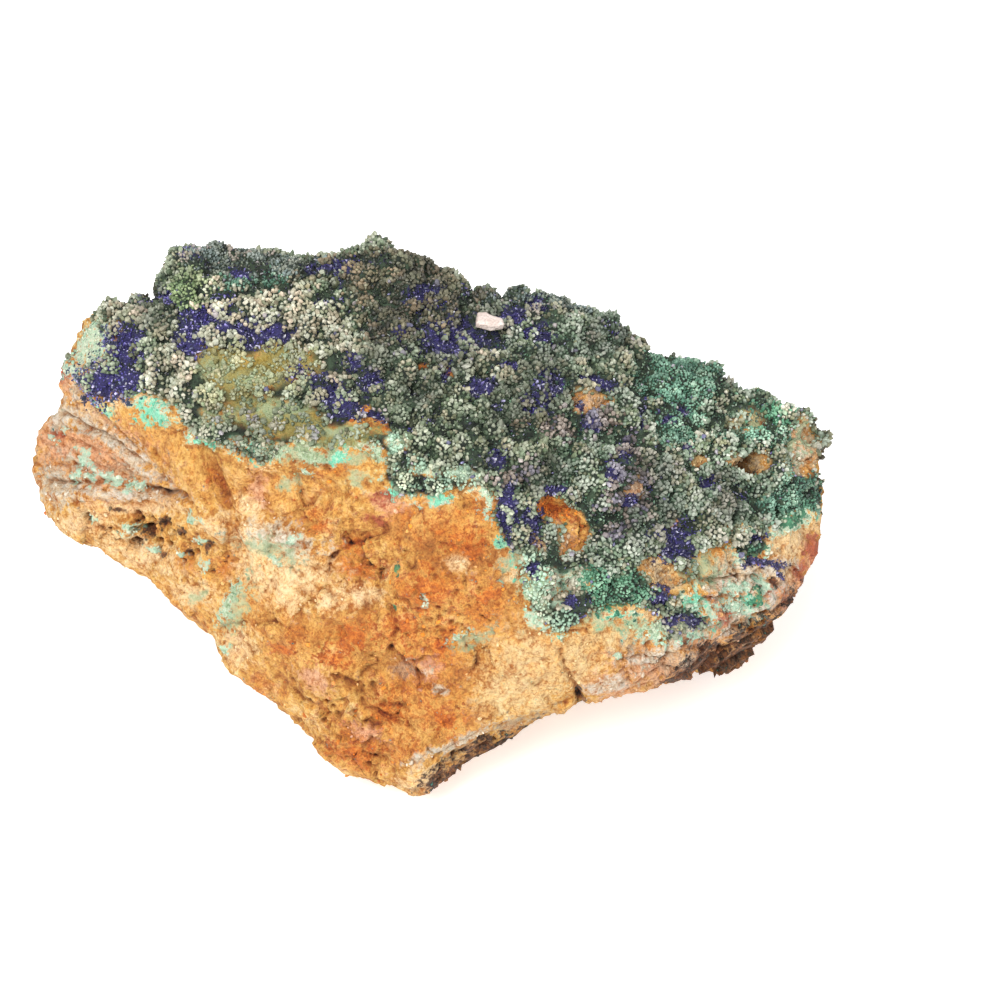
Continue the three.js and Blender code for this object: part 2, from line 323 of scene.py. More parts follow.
# Earths blend softly into the limonite. They are listed from the broadest to the smallest.
EARTHS: dict[str, Stain] = {
    "amber": Stain(("#DDAC62", "#C28A42"), Hidden(17, 0.15), patches=(
        P(-38, 3.5, 6, 4), P(-31, 0.5, 8, 4.4, -10), P(-52, 10, 11, 3.2, -42), P(-30, -22, 5, 3),
        P(-15, -33, 7, 9), P(-38, -14, 9, 6, -35), P(8, -22, 8, 3), P(-45, -15, 5, 4),
        P(-12, -3, 8, 4),
    )),
    "rust": Stain(("#DE8A28", "#98490A"), Hidden(13, 0.1), 1.0, 1.2, 0.85, patches=(
        P(-28, -2.2, 4, 3), P(-22.2, -8, 3.4, 5, 20), P(-9, -13, 8, 7), P(-9, -22, 7, 10, -15),
        P(-24, -21, 6, 4), P(-21, -35, 7, 4.4, -30), P(-13, -28, 8, 6), P(-42.3, -10.3, 3.4, 2),
        P(-43, 2, 1, 4, 28), P(9, -1.2, 5.2, 3, -32), P(10.8, -6, 2.6, 3), P(-39.4, 17, 3, 0.6, 4),
        P(-18.3, 11, 2, 1.3), P(-21.8, 11.5, 2.8, 1.3), P(-20.4, 14, 1.4, 1),
        P(-6.8, 19.4, 0.9, 1.1), P(32.5, -16, 2.6, 2), P(-11, 20.8, 1.4, 1), P(-3, -17, 7, 6),
        P(-7, -5, 7, 4), P(-47.5, -9, 2.6, 1.6), P(-14, -12.5, 4, 6), P(-49, 1.6, 3, 1.2, -20),
        P(-14, -38, 5, 3), P(-30, -20, 3, 3), P(-36, -28, 3, 4), P(-23.4, -9.8, 6.4, 3.4),
        P(-15.8, -19.4, 4.4, 4), P(-8, -32, 5, 4), P(-25, -23.4, 4.6, 3.6), P(-14.6, -2.4, 4, 3),
        P(-2.4, -2.6, 4, 3), P(-24.8, 4.4, 4, 2), P(-12, -1.2, 5, 2), P(1.6, -9.8, 3, 3),
    )),
    "ember": Stain(("#D4741E", "#A04E10"), Hidden(6, 0.45), 0.8, 0.8, 0.8, patches=(
        P(-21.8, -20.5, 3.6, 2.8), P(-10.6, -14.4, 3.2, 3.6), P(-22.9, -7.2, 2.4, 1.4),
        P(-17.2, -31.4, 3.6, 2.6), P(-22, -38.4, 5, 2.2, -20), P(8.2, -1, 3.4, 1.6, -35),
        P(-5, -7, 3, 2.4), P(-14, -24, 2, 3, -20), P(-2, -14, 2.4, 2), P(-27, -3.4, 2.4, 1.2),
        P(-8, -22, 2, 3), P(-33, -22, 2, 1.4), P(-21, -10.8, 4, 1.6, 10), P(-14.6, -19, 3, 2),
        P(-25, -24, 3, 1.6), P(-8, -32.4, 3, 1.8),
    )),
    "cream": Stain(("#EAD3A8", "#D8B784"), Hidden(9, 0.35), 0.6, 0.8, 0.8, patches=(
        P(-33, -13, 6, 4, -20), P(-36, -8, 5, 5), P(-43.5, -3, 3, 2), P(-10, -42, 7, 3, 20),
        P(-31, -10, 9, 5, -12), P(42, -11.5, 6, 3, 12), P(35, -10, 4.5, 3), P(38, -16, 6, 2.4, 30),
        P(-62, -3, 7, 2.4, 12), P(-38, -1, 3.4, 2.6), P(27, -24, 3, 1.6), P(36, -21, 3, 1.2, 40),
        P(-54, -8, 9, 3, -28), P(-37.6, -5, 5, 3.4), P(-46, 9, 2, 1), P(-52, -1, 6, 1.6),
        P(-40, -22, 4, 4), P(-46, -14, 4, 3), P(-58, -1, 6, 2), P(-61, 13, 4, 2, -30),
        P(-20.6, -14.6, 3.4, 2.2), P(-25, -14.6, 4, 2.2), P(-6.4, -9.6, 2.6, 1.8),
        P(42, -7, 3, 1.8, -10), P(43.6, -5.6, 5.4, 5), P(43, -6, 4, 3.4), P(-37, -11, 5, 3),
        P(38, -12, 9, 5), P(46, 9, 4, 7),
    )),
    "beige": Stain(("#E0C694", "#C9AA74"), Hidden(14, 0.2), 0.6, 0.9, 0.85, patches=(
        P(4, -24, 9, 7), P(11, -24, 9, 6.4), P(1, -29, 7, 5, 25), P(17, -21, 7, 4),
        P(5, -28, 9, 4.4, 20), P(21, -16.8, 5, 1.6, -8), P(30.5, 6.8, 2.2, 1.5),
        P(24.8, -10.8, 5, 2.6, -25), P(37.5, 6.8, 4.4, 2),
    )),
    "pink": Stain(("#DBAA8A", "#BC8664"), Hidden(11, 0.3), 0.65, 0.8, 0.8, patches=(
        P(-62, 7, 13, 7, -26), P(-60, 4, 13, 5, -12), P(-66, 8, 6, 7), P(-17, -0.5, 3.4, 2.6),
        P(33, -18.5, 4.4, 4), P(24, -25, 6, 4), P(17, -28, 5, 3), P(41.5, -14, 4, 4.4),
        P(46.8, -9.5, 2, 3), P(13.2, 15.6, 3.4, 2), P(46, 9, 3.6, 5), P(21.3, 2, 1.8, 2.4),
        P(27.2, -3.5, 1.4, 1.2), P(45, -13, 3, 3), P(-64, 18, 4, 5), P(7, 13, 3, 1.3),
        P(30.5, -21.5, 6, 4), P(35, -13.5, 5, 4), P(-11, -25.5, 3, 3, 30), P(-36, 1, 1.2, 4, 20),
        P(-8, -43, 5, 1.6, 15), P(-28, -27, 3.6, 1.8, -25), P(-20, -34.6, 3.6, 1.6, -30),
        P(23, -25, 8, 5), P(41, -14.6, 5, 4),
    )),
    "brick": Stain(("#B0583A", "#8F3F28"), Hidden(6, 0.75), 0.6, 0.7, 0.9, patches=(
        P(47.4, -7.6, 2.2, 3.2), P(-65.2, 19, 1.8, 2), P(41, -15, 1.4, 1.4), P(31.6, -18, 1.8, 1.4),
        P(42.8, -15, 1.8, 3, 20), P(45.5, -10.5, 1.6, 2.4), P(-17, 0.4, 3, 1.2, 20),
        P(-19, -3.4, 2.4, 1, -30), P(32.2, -14.7, 1.6, 1), P(40.8, -14.4, 1.8, 1.8),
        P(32.4, -18.4, 2.6, 1.6), P(34, -17, 2, 1), P(-66, 10, 2, 1),
    )),
    "taupe": Stain(("#B8A488", "#8A745C"), Hidden(9, 0.4), patches=(
        P(-59, 9, 10, 1.4, -36), P(27.6, -20.6, 5, 2.4), P(-4, -37.5, 9, 2, 27),
        P(1, -33.6, 9, 1.4, 20), P(6.5, 10.5, 4, 2.2), P(36, 9, 4, 2), P(19, -22, 3, 1.4),
        P(-67, 3, 3, 4), P(-64, 5, 6, 1, -24), P(-34, -6.4, 7, 1.4, -14), P(-15, -25, 3, 2, 30),
        P(8, -6, 4, 3), P(4, -8, 3, 3), P(22, -21, 6, 1.4), P(13.4, 15.6, 3.8, 2.2),
        P(21.3, 2, 2.2, 2.6), P(37.8, 6.4, 3.8, 2), P(46.4, 9, 3.4, 5.6), P(24.8, -11, 3, 1.6, -35),
        P(25, -23.4, 5, 3, 20), P(33, -10, 4, 3), P(42, -15, 4, 2.4, 30), P(34, -15, 4, 2.4),
        P(2, -10, 3, 3), P(-56, 4, 5, 2, -24),
    )),
    "chalk": Stain(("#D6CDBA", "#B5A994"), Hidden(8, 0.5), 0.65, 0.7, 0.85, patches=(
        P(37, -12, 6, 3, 15), P(33, -12.5, 4, 3), P(41, -10.5, 4, 2, 10), P(38, -17, 8, 1.8, 38),
        P(-66, 2, 5, 3), P(-60, 10, 10, 1.6, -40), P(-56, 6, 8, 1, -34), P(-62, 5, 6, 1, -24),
        P(24, -23, 6, 1.4, 24), P(-57, 8.4, 10, 1.3, -36), P(-57, 1, 11, 1, -3),
        P(-33, -6, 8, 2.6, -14), P(-65.4, 12.6, 3, 2), P(-8, -37, 9, 1.2, 27),
        P(28, -20, 6, 1.6, 20), P(-11, -26, 1.4, 1), P(-9, -28.5, 1.2, 0.9),
        P(-62, 17, 3, 1.6, -40), P(42.6, -9.6, 3, 1.6), P(-7, -43, 5, 1.6, 20),
        P(-63.4, 17, 1.4, 3), P(38, -10.4, 5, 2, -8), P(37, -13.4, 4, 2, -10),
        P(28.8, -24.2, 5, 1.3, 43), P(34.6, -19.6, 4, 1.3, 30), P(39.6, -16.2, 4, 1.3, 38),
        P(-67, 2, 4, 3.4), P(16, -28, 4, 1.4, 10), P(46, 6, 1.6, 3),
    )),
    # Dark brown rock, darkened near black as painted shade on the underside and in holes.
    "umber_and_painted_shade": Stain(("#74421F", "#140905"), Hidden(8, 0.6), 0.55, 0.5, 0.95, patches=(
        P(27, -27, 5, 2, 36), P(33, -25, 6, 3.6, 30), P(37, -22.6, 6, 3.8, 40),
        P(41, -19.2, 6, 2.8, 42), P(45, -15, 5, 2, 44), P(31, -24, 4.4, 2.6, 30),
        P(30.4, -11.8, 1, 0.6), P(35.6, -11.4, 1.6, 0.4, -20), P(41.2, -12.6, 0.7, 1.4, 10),
        P(33.4, -16.6, 1.4, 0.5, 30), P(28.6, -21.4, 2.4, 0.5, 30), P(-8, -41, 6, 1.8, 35),
        P(-2.5, -38, 6, 2, 30), P(5, -34.6, 6, 1.5, 22), P(-53, -5, 1.2, 1.1), P(38, 5.2, 1.8, 1.1),
        P(11.9, -29, 0.6, 1.6), P(46, -17, 3, 2.4, 44), P(-61.6, -3.2, 0.6, 0.8),
        P(-55, -7, 1.5, 0.7), P(-50.8, -3.6, 1.2, 0.8), P(-48, -5.4, 0.9, 0.9),
        P(-51, -8.6, 1, 0.6), P(-46.6, -8, 1, 0.6), P(-57, -1.6, 1.2, 0.5), P(-43.6, -7, 0.6, 1.2),
    )),
}

# Ores lie on the rock as powdery films and crusts with crisper edges.
ORES: dict[str, Stain] = {
    "mint": Stain(("#C4D2BC", "#98BEA4"), Hidden(7, 0.62), 0.9, 0.5, 0.85, patches=(
        P(-61.6, 24.3, 5.8, 6.8), P(43.4, -3.2, 5, 1.7, 18), P(-55.6, -4.7, 1.2, 1),
        P(-46, -2.3, 1.2, 0.9), P(-44.5, -9.8, 0.9, 1), P(-40.6, -15.3, 1.4, 3.4, -24),
        P(-52, -7.6, 0.9, 0.7), P(-30.6, -5.7, 1, 0.8), P(-33.2, -9.2, 1.4, 0.6),
        P(-10.8, -15, 0.8, 0.7), P(-41.7, -22.8, 0.8, 0.8), P(-29, 4.4, 1, 0.8),
        P(-29.4, 8.3, 3, 1.2), P(5.1, -13.8, 2.2, 2.8), P(-5.9, -20, 1.6, 0.7, 30),
        P(22.5, -19.5, 3.6, 2), P(36, -16.2, 2.9, 1.8), P(18.3, -23.9, 1, 0.8), P(36, -4.2, 3.4, 1),
        P(-34, 7.6, 3, 1.4), P(-61, -3, 0.8, 0.9), P(43, -4, 4, 1, 12), P(-58, 3, 2, 1),
        P(36, -13.4, 3, 0.8, 20), P(39.5, -13.6, 1.2, 1.6), P(-21, 8, 2, 1), P(-62.7, 6, 1.3, 1.6),
        P(-63.9, 3.9, 1, 1), P(-62.1, 3.2, 0.8, 1), P(-59.4, 3.8, 1.6, 0.8), P(-66.9, 9.5, 1, 0.7),
        P(-55.2, 2.3, 1.6, 0.9), P(-45.2, -5.9, 0.9, 0.7), P(-60.8, 4.6, 0.8, 0.6),
        P(-48, -8.4, 1, 0.6), P(-64.4, 10.8, 0.8, 0.6), P(-52, 13.6, 3.2, 2, -25),
        P(7, -13.6, 4, 4.6), P(8.6, -11, 1.8, 2.6), P(11.8, -12.4, 3, 3.4), P(-15.4, 8.6, 3, 2),
        P(-38.6, 8, 3, 1.2, -20), P(-11, 4, 3, 1.4), P(-5.6, 4, 3.4, 1.8),
    )),
    "olive": Stain(("#938B52", "#7B6E32"), Hidden(9, 0.9), 0.4, 0.5, 0.95, patches=(
        P(-40, 19.6, 7.5, 5), P(-33, 21, 7.5, 5), P(-44, 21, 4, 4.4), P(-34, 12.4, 13, 4.6, -12),
        P(-24, 9.6, 7, 2.6),
    )),
    "celadon": Stain(("#A8B594", "#869A74"), Hidden(9, 0.5), 0.7, 0.8, 0.75, patches=(
        P(-43.8, 19.8, 3.8, 2.6), P(-37, 18.4, 4, 2.2), P(-33, 14, 6, 2), P(-42, 13, 4, 1.6),
        P(-25, 10, 5, 1.6), P(-39.6, -16, 2, 6, -24), P(-34, -7.4, 6, 2, -14),
        P(-31.8, 2.1, 2.4, 1.6), P(-21, 3, 2, 2), P(-21, 6, 4, 1.4), P(-4, -20.5, 4, 1.4, 30),
        P(4.6, -13, 3, 3), P(-45.5, -14.5, 2, 1.4), P(28, -19, 5, 1.4), P(46.4, 10, 1.6, 5, 8),
        P(30, -9.6, 3.6, 2.6), P(32, -12, 3, 1.6), P(-30, 7, 7, 1.6), P(44, 7, 1.6, 5),
        P(1.6, -9.4, 2, 3), P(16, -18.4, 4.4, 1.4), P(20.4, -18.8, 3.4, 1.8),
        P(37.6, 12.6, 3.4, 2.4),
    )),
    "honey": Stain(("#AE8C38", "#8A7020"), Hidden(5, 0.9), 0.7, 0.8, 0.75, patches=(
        P(-36.4, 17.4, 3.2, 0.8, -4), P(-43.2, 17.8, 2, 0.7), P(-38.6, 22, 4.6, 1.6),
        P(-29, 13.4, 1.6, 0.8), P(-33, 19.8, 2, 0.8), P(-27, 18.4, 1.4, 0.8),
        P(-44, 15.2, 1.2, 0.6),
    )),
    "turquoise": Stain(("#8FCFB0", "#5DB898"), Hidden(6, 0.8), 1.0, 0.5, 0.85, patches=(
        P(-52.5, 13.2, 2, 2.2), P(-55.2, 16, 1.8, 0.8), P(-47.8, 13.8, 1.1, 1.1),
        P(-44.2, 8.9, 2.6, 1), P(-37.4, 6.9, 1.8, 1.4), P(-0.3, -6.6, 1.4, 1.1),
        P(-15, 1.5, 1.8, 1.1), P(-9.2, 0.6, 2, 0.6), P(28.7, -15.5, 1.4, 1.2), P(37.5, -15, 1.4, 1),
    )),
    "emerald": Stain(("#2F8058", "#1B5A40"), Hidden(8, 0.7), 0.7, 0.3, 0.9, patches=(
        P(16.5, -13, 5, 3.8), P(38.6, -7.3, 1.9, 1.6), P(42.8, -2.7, 2.8, 1.4),
        P(47.9, 2, 1.6, 1.1), P(38.6, 9.3, 2.2, 1.1), P(-15, -10.2, 1, 0.8), P(38, -14.7, 0.8, 1.4),
        P(-16, -16.2, 0.7, 0.7), P(-41.5, 32.5, 3, 1.6), P(-47.5, 34.5, 3, 1.6, 40),
    )),
    "azurite": Stain(("#38326E", "#1C193C"), Hidden(7, 0.68), 0.9, 0.35, 0.95, patches=(
        P(-58.2, 18.3, 4.8, 3.6), P(-56.7, 23.7, 3.2, 4), P(-53, 31.4, 2, 1.4), P(-51, 30.5, 2, 1),
        P(-47.1, 24.8, 2.6, 3.4), P(-45, 28.7, 3.4, 1.5), P(-41.7, 26.9, 1.8, 1.5),
        P(-35.7, 25.8, 5.4, 2.2), P(-46.8, 37.7, 2.8, 1.4), P(-38.9, 35.7, 1.8, 1),
        P(-30, 19.1, 2.6, 1.4), P(-24.8, 15.6, 4.4, 2.2, -25), P(-18.8, 12.4, 1.8, 0.9, -25),
        P(-19.4, 18, 2, 1.6), P(-10.5, 30.8, 3.4, 2), P(-6, 25.2, 6, 2.8), P(-7.8, 19.8, 1.6, 1.3),
        P(-2.7, 17.3, 2.3, 1.5), P(-24.8, 36, 3.6, 1.2), P(-22.2, 21, 1.4, 2), P(1.8, 28.2, 2.6, 2),
        P(5, 30, 2.2, 1.4), P(6.2, 25.5, 2.8, 1.7), P(7.4, 17.6, 3, 3.2), P(5.1, 15.3, 1.6, 1.3),
        P(15.6, 18.8, 3.4, 1.2), P(14.1, 12.3, 1.8, 1.2), P(27.9, 14.5, 1.3, 1), P(26, 12, 1, 1.2),
        P(19, 8.5, 1.7, 1.6), P(-0.2, 6.8, 1.7, 1.9), P(1.2, -1.6, 1.7, 4.6), P(5.6, -3.4, 2, 3.6),
        P(9, 1.4, 2.2, 1), P(21.9, 13, 1.1, 1.3), P(32, 3.2, 1.5, 1.1), P(29, 8, 0.9, 1.4),
        P(25.6, -6.2, 4, 2.6), P(38.5, -5.1, 1.7, 0.7), P(39.8, -9.5, 2.8, 0.7),
        P(42, -10.8, 1.1, 0.8), P(20, -0.3, 1.4, 1.2), P(4.4, -9.9, 1.3, 1.4),
        P(10.4, -15.6, 0.9, 1), P(23.6, -14.7, 2.6, 1.5), P(26.4, -18, 1.7, 1.5),
        P(29.3, -18.6, 1.1, 1.1), P(13.2, 15.3, 0.9, 0.7), P(-14, 25, 1.4, 1.2), P(-27, 30, 1.6, 1),
        P(17, 4, 1.1, 1.8), P(1, 21, 1.6, 1), P(24.6, -13, 1, 1),
    )),
}

STAINS = EARTHS | ORES

# Bare rock that shows through the crust.
WINDOWS = (
    P(9.4, -1.6, 4, 1.9, -35), P(11, -5.6, 2, 3.2), P(6.4, -6.6, 1.6, 1), P(13.4, 15.6, 3.2, 1.6),
    P(-21.8, 11.5, 2.2, 1), P(-18.3, 11, 1.6, 1.1), P(-20.4, 14, 0.8, 0.6), P(30.5, 6.8, 1.4, 1),
    P(-28, 7.4, 5, 1.2), P(37.8, 6.4, 3.4, 1.5), P(24.8, -11, 4, 2.2, -35), P(21, -16.8, 4, 1, -8),
    P(46.6, 8.6, 2.6, 5.4, 8), P(-6.8, 19.4, 0.6, 0.8), P(21.3, 2, 1.2, 1.8),
    P(27.2, -3.5, 0.9, 0.8), P(-62, 24.4, 3.2, 4.8), P(43.5, -6.8, 2.8, 2), P(-11, 20.8, 0.9, 0.6),
)

# The crust's outline on the show side: from its left end along its lower edge, then over the rim.
CRUST_OUTLINE = (
    (-68, 22), (-62.1, 19.5), (-60, 16.2), (-57.6, 15), (-55.2, 15.6), (-53.5, 16.3), (-50.5, 15.2),
    (-48.3, 13.6), (-46.8, 10.4), (-42.6, 8.4), (-38.4, 6), (-35.7, 5.7), (-33.8, 7.5), (-30, 8),
    (-26.1, 7.2), (-22.2, 9), (-18.8, 8.1), (-16.8, 6.3), (-16.8, 2.7), (-14.7, 0.9), (-12, 0.5),
    (-9.6, 0.2), (-7.8, 1.5), (-3, 2.4), (-0.6, 0.6), (-1, -3), (0, -6), (2.1, -7.8), (3, -10.8),
    (3.3, -13.5), (4.5, -16.8), (7.8, -19.2), (12, -18.6), (16.5, -16.2), (21, -15.6),
    (23.3, -16.8), (25.5, -20.1), (30.3, -19.5), (30.3, -16.8), (27, -15), (28.5, -11.3),
    (30, -7.2), (34.5, -6.3), (36.8, -8.4), (40.2, -8.4), (40.4, -4.2), (44, -2), (47.6, -2.4),
    (52, -2.4), (60, -2.4), (60, 60), (-90, 60), (-90, 22),
)


def to_segment(start: Pair, end: Pair, seen: Seen) -> Array:
    """Measures how far points of the show side lie from a straight line between two corners.

    Args:
        start: One corner in millimetres.
        end: The other corner.
        seen: Where the points are seen.

    Returns:
        Distances in millimetres.
    """
    (ax, ay), (bx, by), (across, up) = start, end, seen
    dx, dy = bx - ax, by - ay
    share = np.clip(((across - ax) * dx + (up - ay) * dy) / (dx * dx + dy * dy), 0, 1)
    return np.hypot(across - ax - share * dx, up - ay - share * dy)


def inside(outline: tuple[Pair, ...], seen: Seen) -> Array:
    """Measures how deep points lie inside a closed outline.

    Args:
        outline: Corners in millimetres.
        seen: Where the points are seen.

    Returns:
        Distance to the outline in millimetres, below 0 outside it.
    """
    across, up = seen
    nearest = np.full(len(across), FAR_MM)
    within = np.zeros(len(across), bool)
    for start, end in zip(outline, outline[1:] + outline[:1]):
        nearest = np.minimum(nearest, to_segment(start, end, seen))
        (ax, ay), (bx, by) = start, end
        if by != ay:
            crosses = ((ay > up) != (by > up)) & (across < (bx - ax) * (up - ay) / (by - ay) + ax)
            within ^= crosses
    return np.where(within, nearest, -nearest)


def strongest(patches: tuple[Patch, ...], seen: Seen) -> Array:
    """Gives the reach of whichever patch is strongest at each point.

    Args:
        patches: The patches.
        seen: Where the points are seen.

    Returns:
        Reaches from 1 in the middle of a patch down to -1.
    """
    best = np.full(len(seen[0]), -1.0)
    for patch in patches:
        best = np.maximum(best, patch.reach(seen))
    return best


@dataclass
class MineralMap:
    """Which mineral lies where on the rock.

    Each field runs from -1 to 1 and is above 0 where its mineral lies. The show side follows the
    patches, and the hidden faces follow noise. Sizes are in millimetres.
    """

    sight: Sight
    fields: dict[str, Array] = field(default_factory=dict)
    # Waves that make the edges of all patches uneven: their pitch and their push.
    uneven: tuple[Pair, ...] = ((4, 0.9), (1.3, 0.4))
    # How far down the crust reaches over the back rim, which falls toward the right.
    rim_height: float = 47.0
    rim_slope: float = -0.16
    # How deep inside its edge the crust is whole, and its heart lies: as shown, and at the rim.
    whole: Pair = (1.5, 4.0)
    heart: Pair = (6.0, 12.0)
    # A film of ore fringes the crust: its distance outside the crust's outline, and its width.
    fringe: Pair = (0.9, 1.6)
    # How rare each of the fringe's minerals is, where a higher number is rarer.
    fringe_rarity: tuple[tuple[str, float], ...] = (
        ("mint", 1.0), ("turquoise", 1.3), ("cream", 0.7),
    )

    def survey(self, points: Array, facing: Array) -> None:
        """Works out every field at the rock's points.

        Args:
            points: Places in millimetres in the row frame.
            facing: Smoothed outward directions there.
        """
        across, up = self.sight.seen(points)
        shown = smoothstep(facing @ self.sight.toward, -0.2, 0)
        for step, (pitch, push) in enumerate(self.uneven):
            across = across + push * waves(points, pitch, 31 + 2 * step)
            up = up + push * waves(points, pitch, 32 + 2 * step)
        seen = across, up
        for seed, (name, stain) in enumerate(STAINS.items()):
            mapped = strongest(stain.patches, seen)
            wild = waves(points, stain.hidden.pitch, 50 + seed, 3) - stain.hidden.level
            self.blend(name, shown, mapped, np.clip(2.2 * wild, -1, 1))
        rim = self.rim_height + self.rim_slope * points[:, 0] + 4 * waves(points, 9, 81, 2)
        within, above = inside(CRUST_OUTLINE, seen), points[:, 2] - rim
        for name, (depth, height), least in (("crust", self.whole, -1), ("heart", self.heart, 0)):
            mapped, wild = np.clip(within / depth, least, 1), np.clip(above / height, least, 1)
            self.blend(name, shown, mapped, wild)
        out, width = self.fringe
        edge = shown * (1 - np.abs(within + out) / width)
        for seed, (name, rarity) in enumerate(self.fringe_rarity, 84):
            film = edge + 1.6 * waves(points, 5, seed, 2) - rarity
            self.fields[name] = np.maximum(self.fields[name], np.clip(film, -1, 1))
        bare = np.clip(1.8 * (waves(points, 10, 83, 2) - 0.35), -1, 1)
        window = strongest(WINDOWS, seen) + 0.3 * waves(points, 1.4, 87)
        self.blend("window", shown, window, bare)
        self.fields["shown"] = shown

    def blend(self, name: str, shown: Array, mapped: Array, wild: Array) -> None:
        """Keeps a field that is mapped on the show side and wild on the hidden faces."""
        self.fields[name] = shown * mapped + (1 - shown) * wild


# -------- materials


class Finish:
    """A material's node tree, and the one way to add a node to it."""

    def __init__(self, name: str, roughness: float, ior: float) -> None:
        """Starts an empty material with its shader and output.

        Args:
            name: The material's name.
            roughness: How dull its surface is.
            ior: Its index of refraction.
        """
        self.material = bpy.data.materials.new(name)
        self.material.use_nodes = True
        self.tree = self.material.node_tree
        self.tree.nodes.clear()
        output = self.tree.nodes.new("ShaderNodeOutputMaterial")
        self.shader = self.tree.nodes.new("ShaderNodeBsdfPrincipled")
        self.shader.inputs["Roughness"].default_value = roughness
        self.shader.inputs["IOR"].default_value = ior
        self.tree.links.new(self.shader.outputs[0], output.inputs[0])

    def add(self, kind: str, inputs: dict | None = None, **settings: object) -> bpy.types.Node:
        """Adds a node with its settings and links.

        Args:
            kind: The node's type, without ShaderNode.
            inputs: Values or sockets by input name or number.
            settings: The node's own properties.

        Returns:
            The node.
        """
        node = self.tree.nodes.new("ShaderNode" + kind)
        for key, value in settings.items():
            setattr(node, key, value)
        for key, value in (inputs or {}).items():
            if isinstance(value, Socket):
                self.tree.links.new(value, node.inputs[key])
            else:
                node.inputs[key].default_value = value
        return node

    def connect(self, socket: Socket, name: str) -> None:
        """Links a socket to one of the shader's inputs."""
        self.tree.links.new(socket, self.shader.inputs[name])


def rgba(colour: str) -> tuple[float, float, float, float]:
    """An sRGB hex colour as linear red, green, blue and alpha."""
    return (*linear(colour), 1.0)


@dataclass(frozen=True)
class Pattern:
    """A noise that mottles a finish.

    width is in millimetres. bend warps the noise, and roughness says how strongly its finer
    detail shows.
    """

    width: float
    detail: float
    bend: float = 0.0
    roughness: float = 0.5
    dimensions: str = "4D"


# Grit of limonite is about 0.1 mm wide, its specks 0.2 mm and its cracks a hair's width. All are
# too fine to show, so they are drawn two to four times as coarse. The rest keeps its size.
LIMONITE_PATTERNS: dict[str, Pattern] = {
    "grit": Pattern(0.38, 2.0, roughness=0.62, dimensions="3D"),
    "crumb": Pattern(1.3, 4.0, roughness=0.62, dimensions="3D"),
    "cloud": Pattern(6.0, 4.0, roughness=0.62, dimensions="3D"),
    "speck": Pattern(0.5, 1.0),
    "blush": Pattern(1.7, 2.0, 0.6),
    "crack": Pattern(3.2, 3.0, 0.8),
    "thread": Pattern(1.3, 1.0, 0.5),
    "wrinkle": Pattern(1.7, 2.0, 0.9),
}


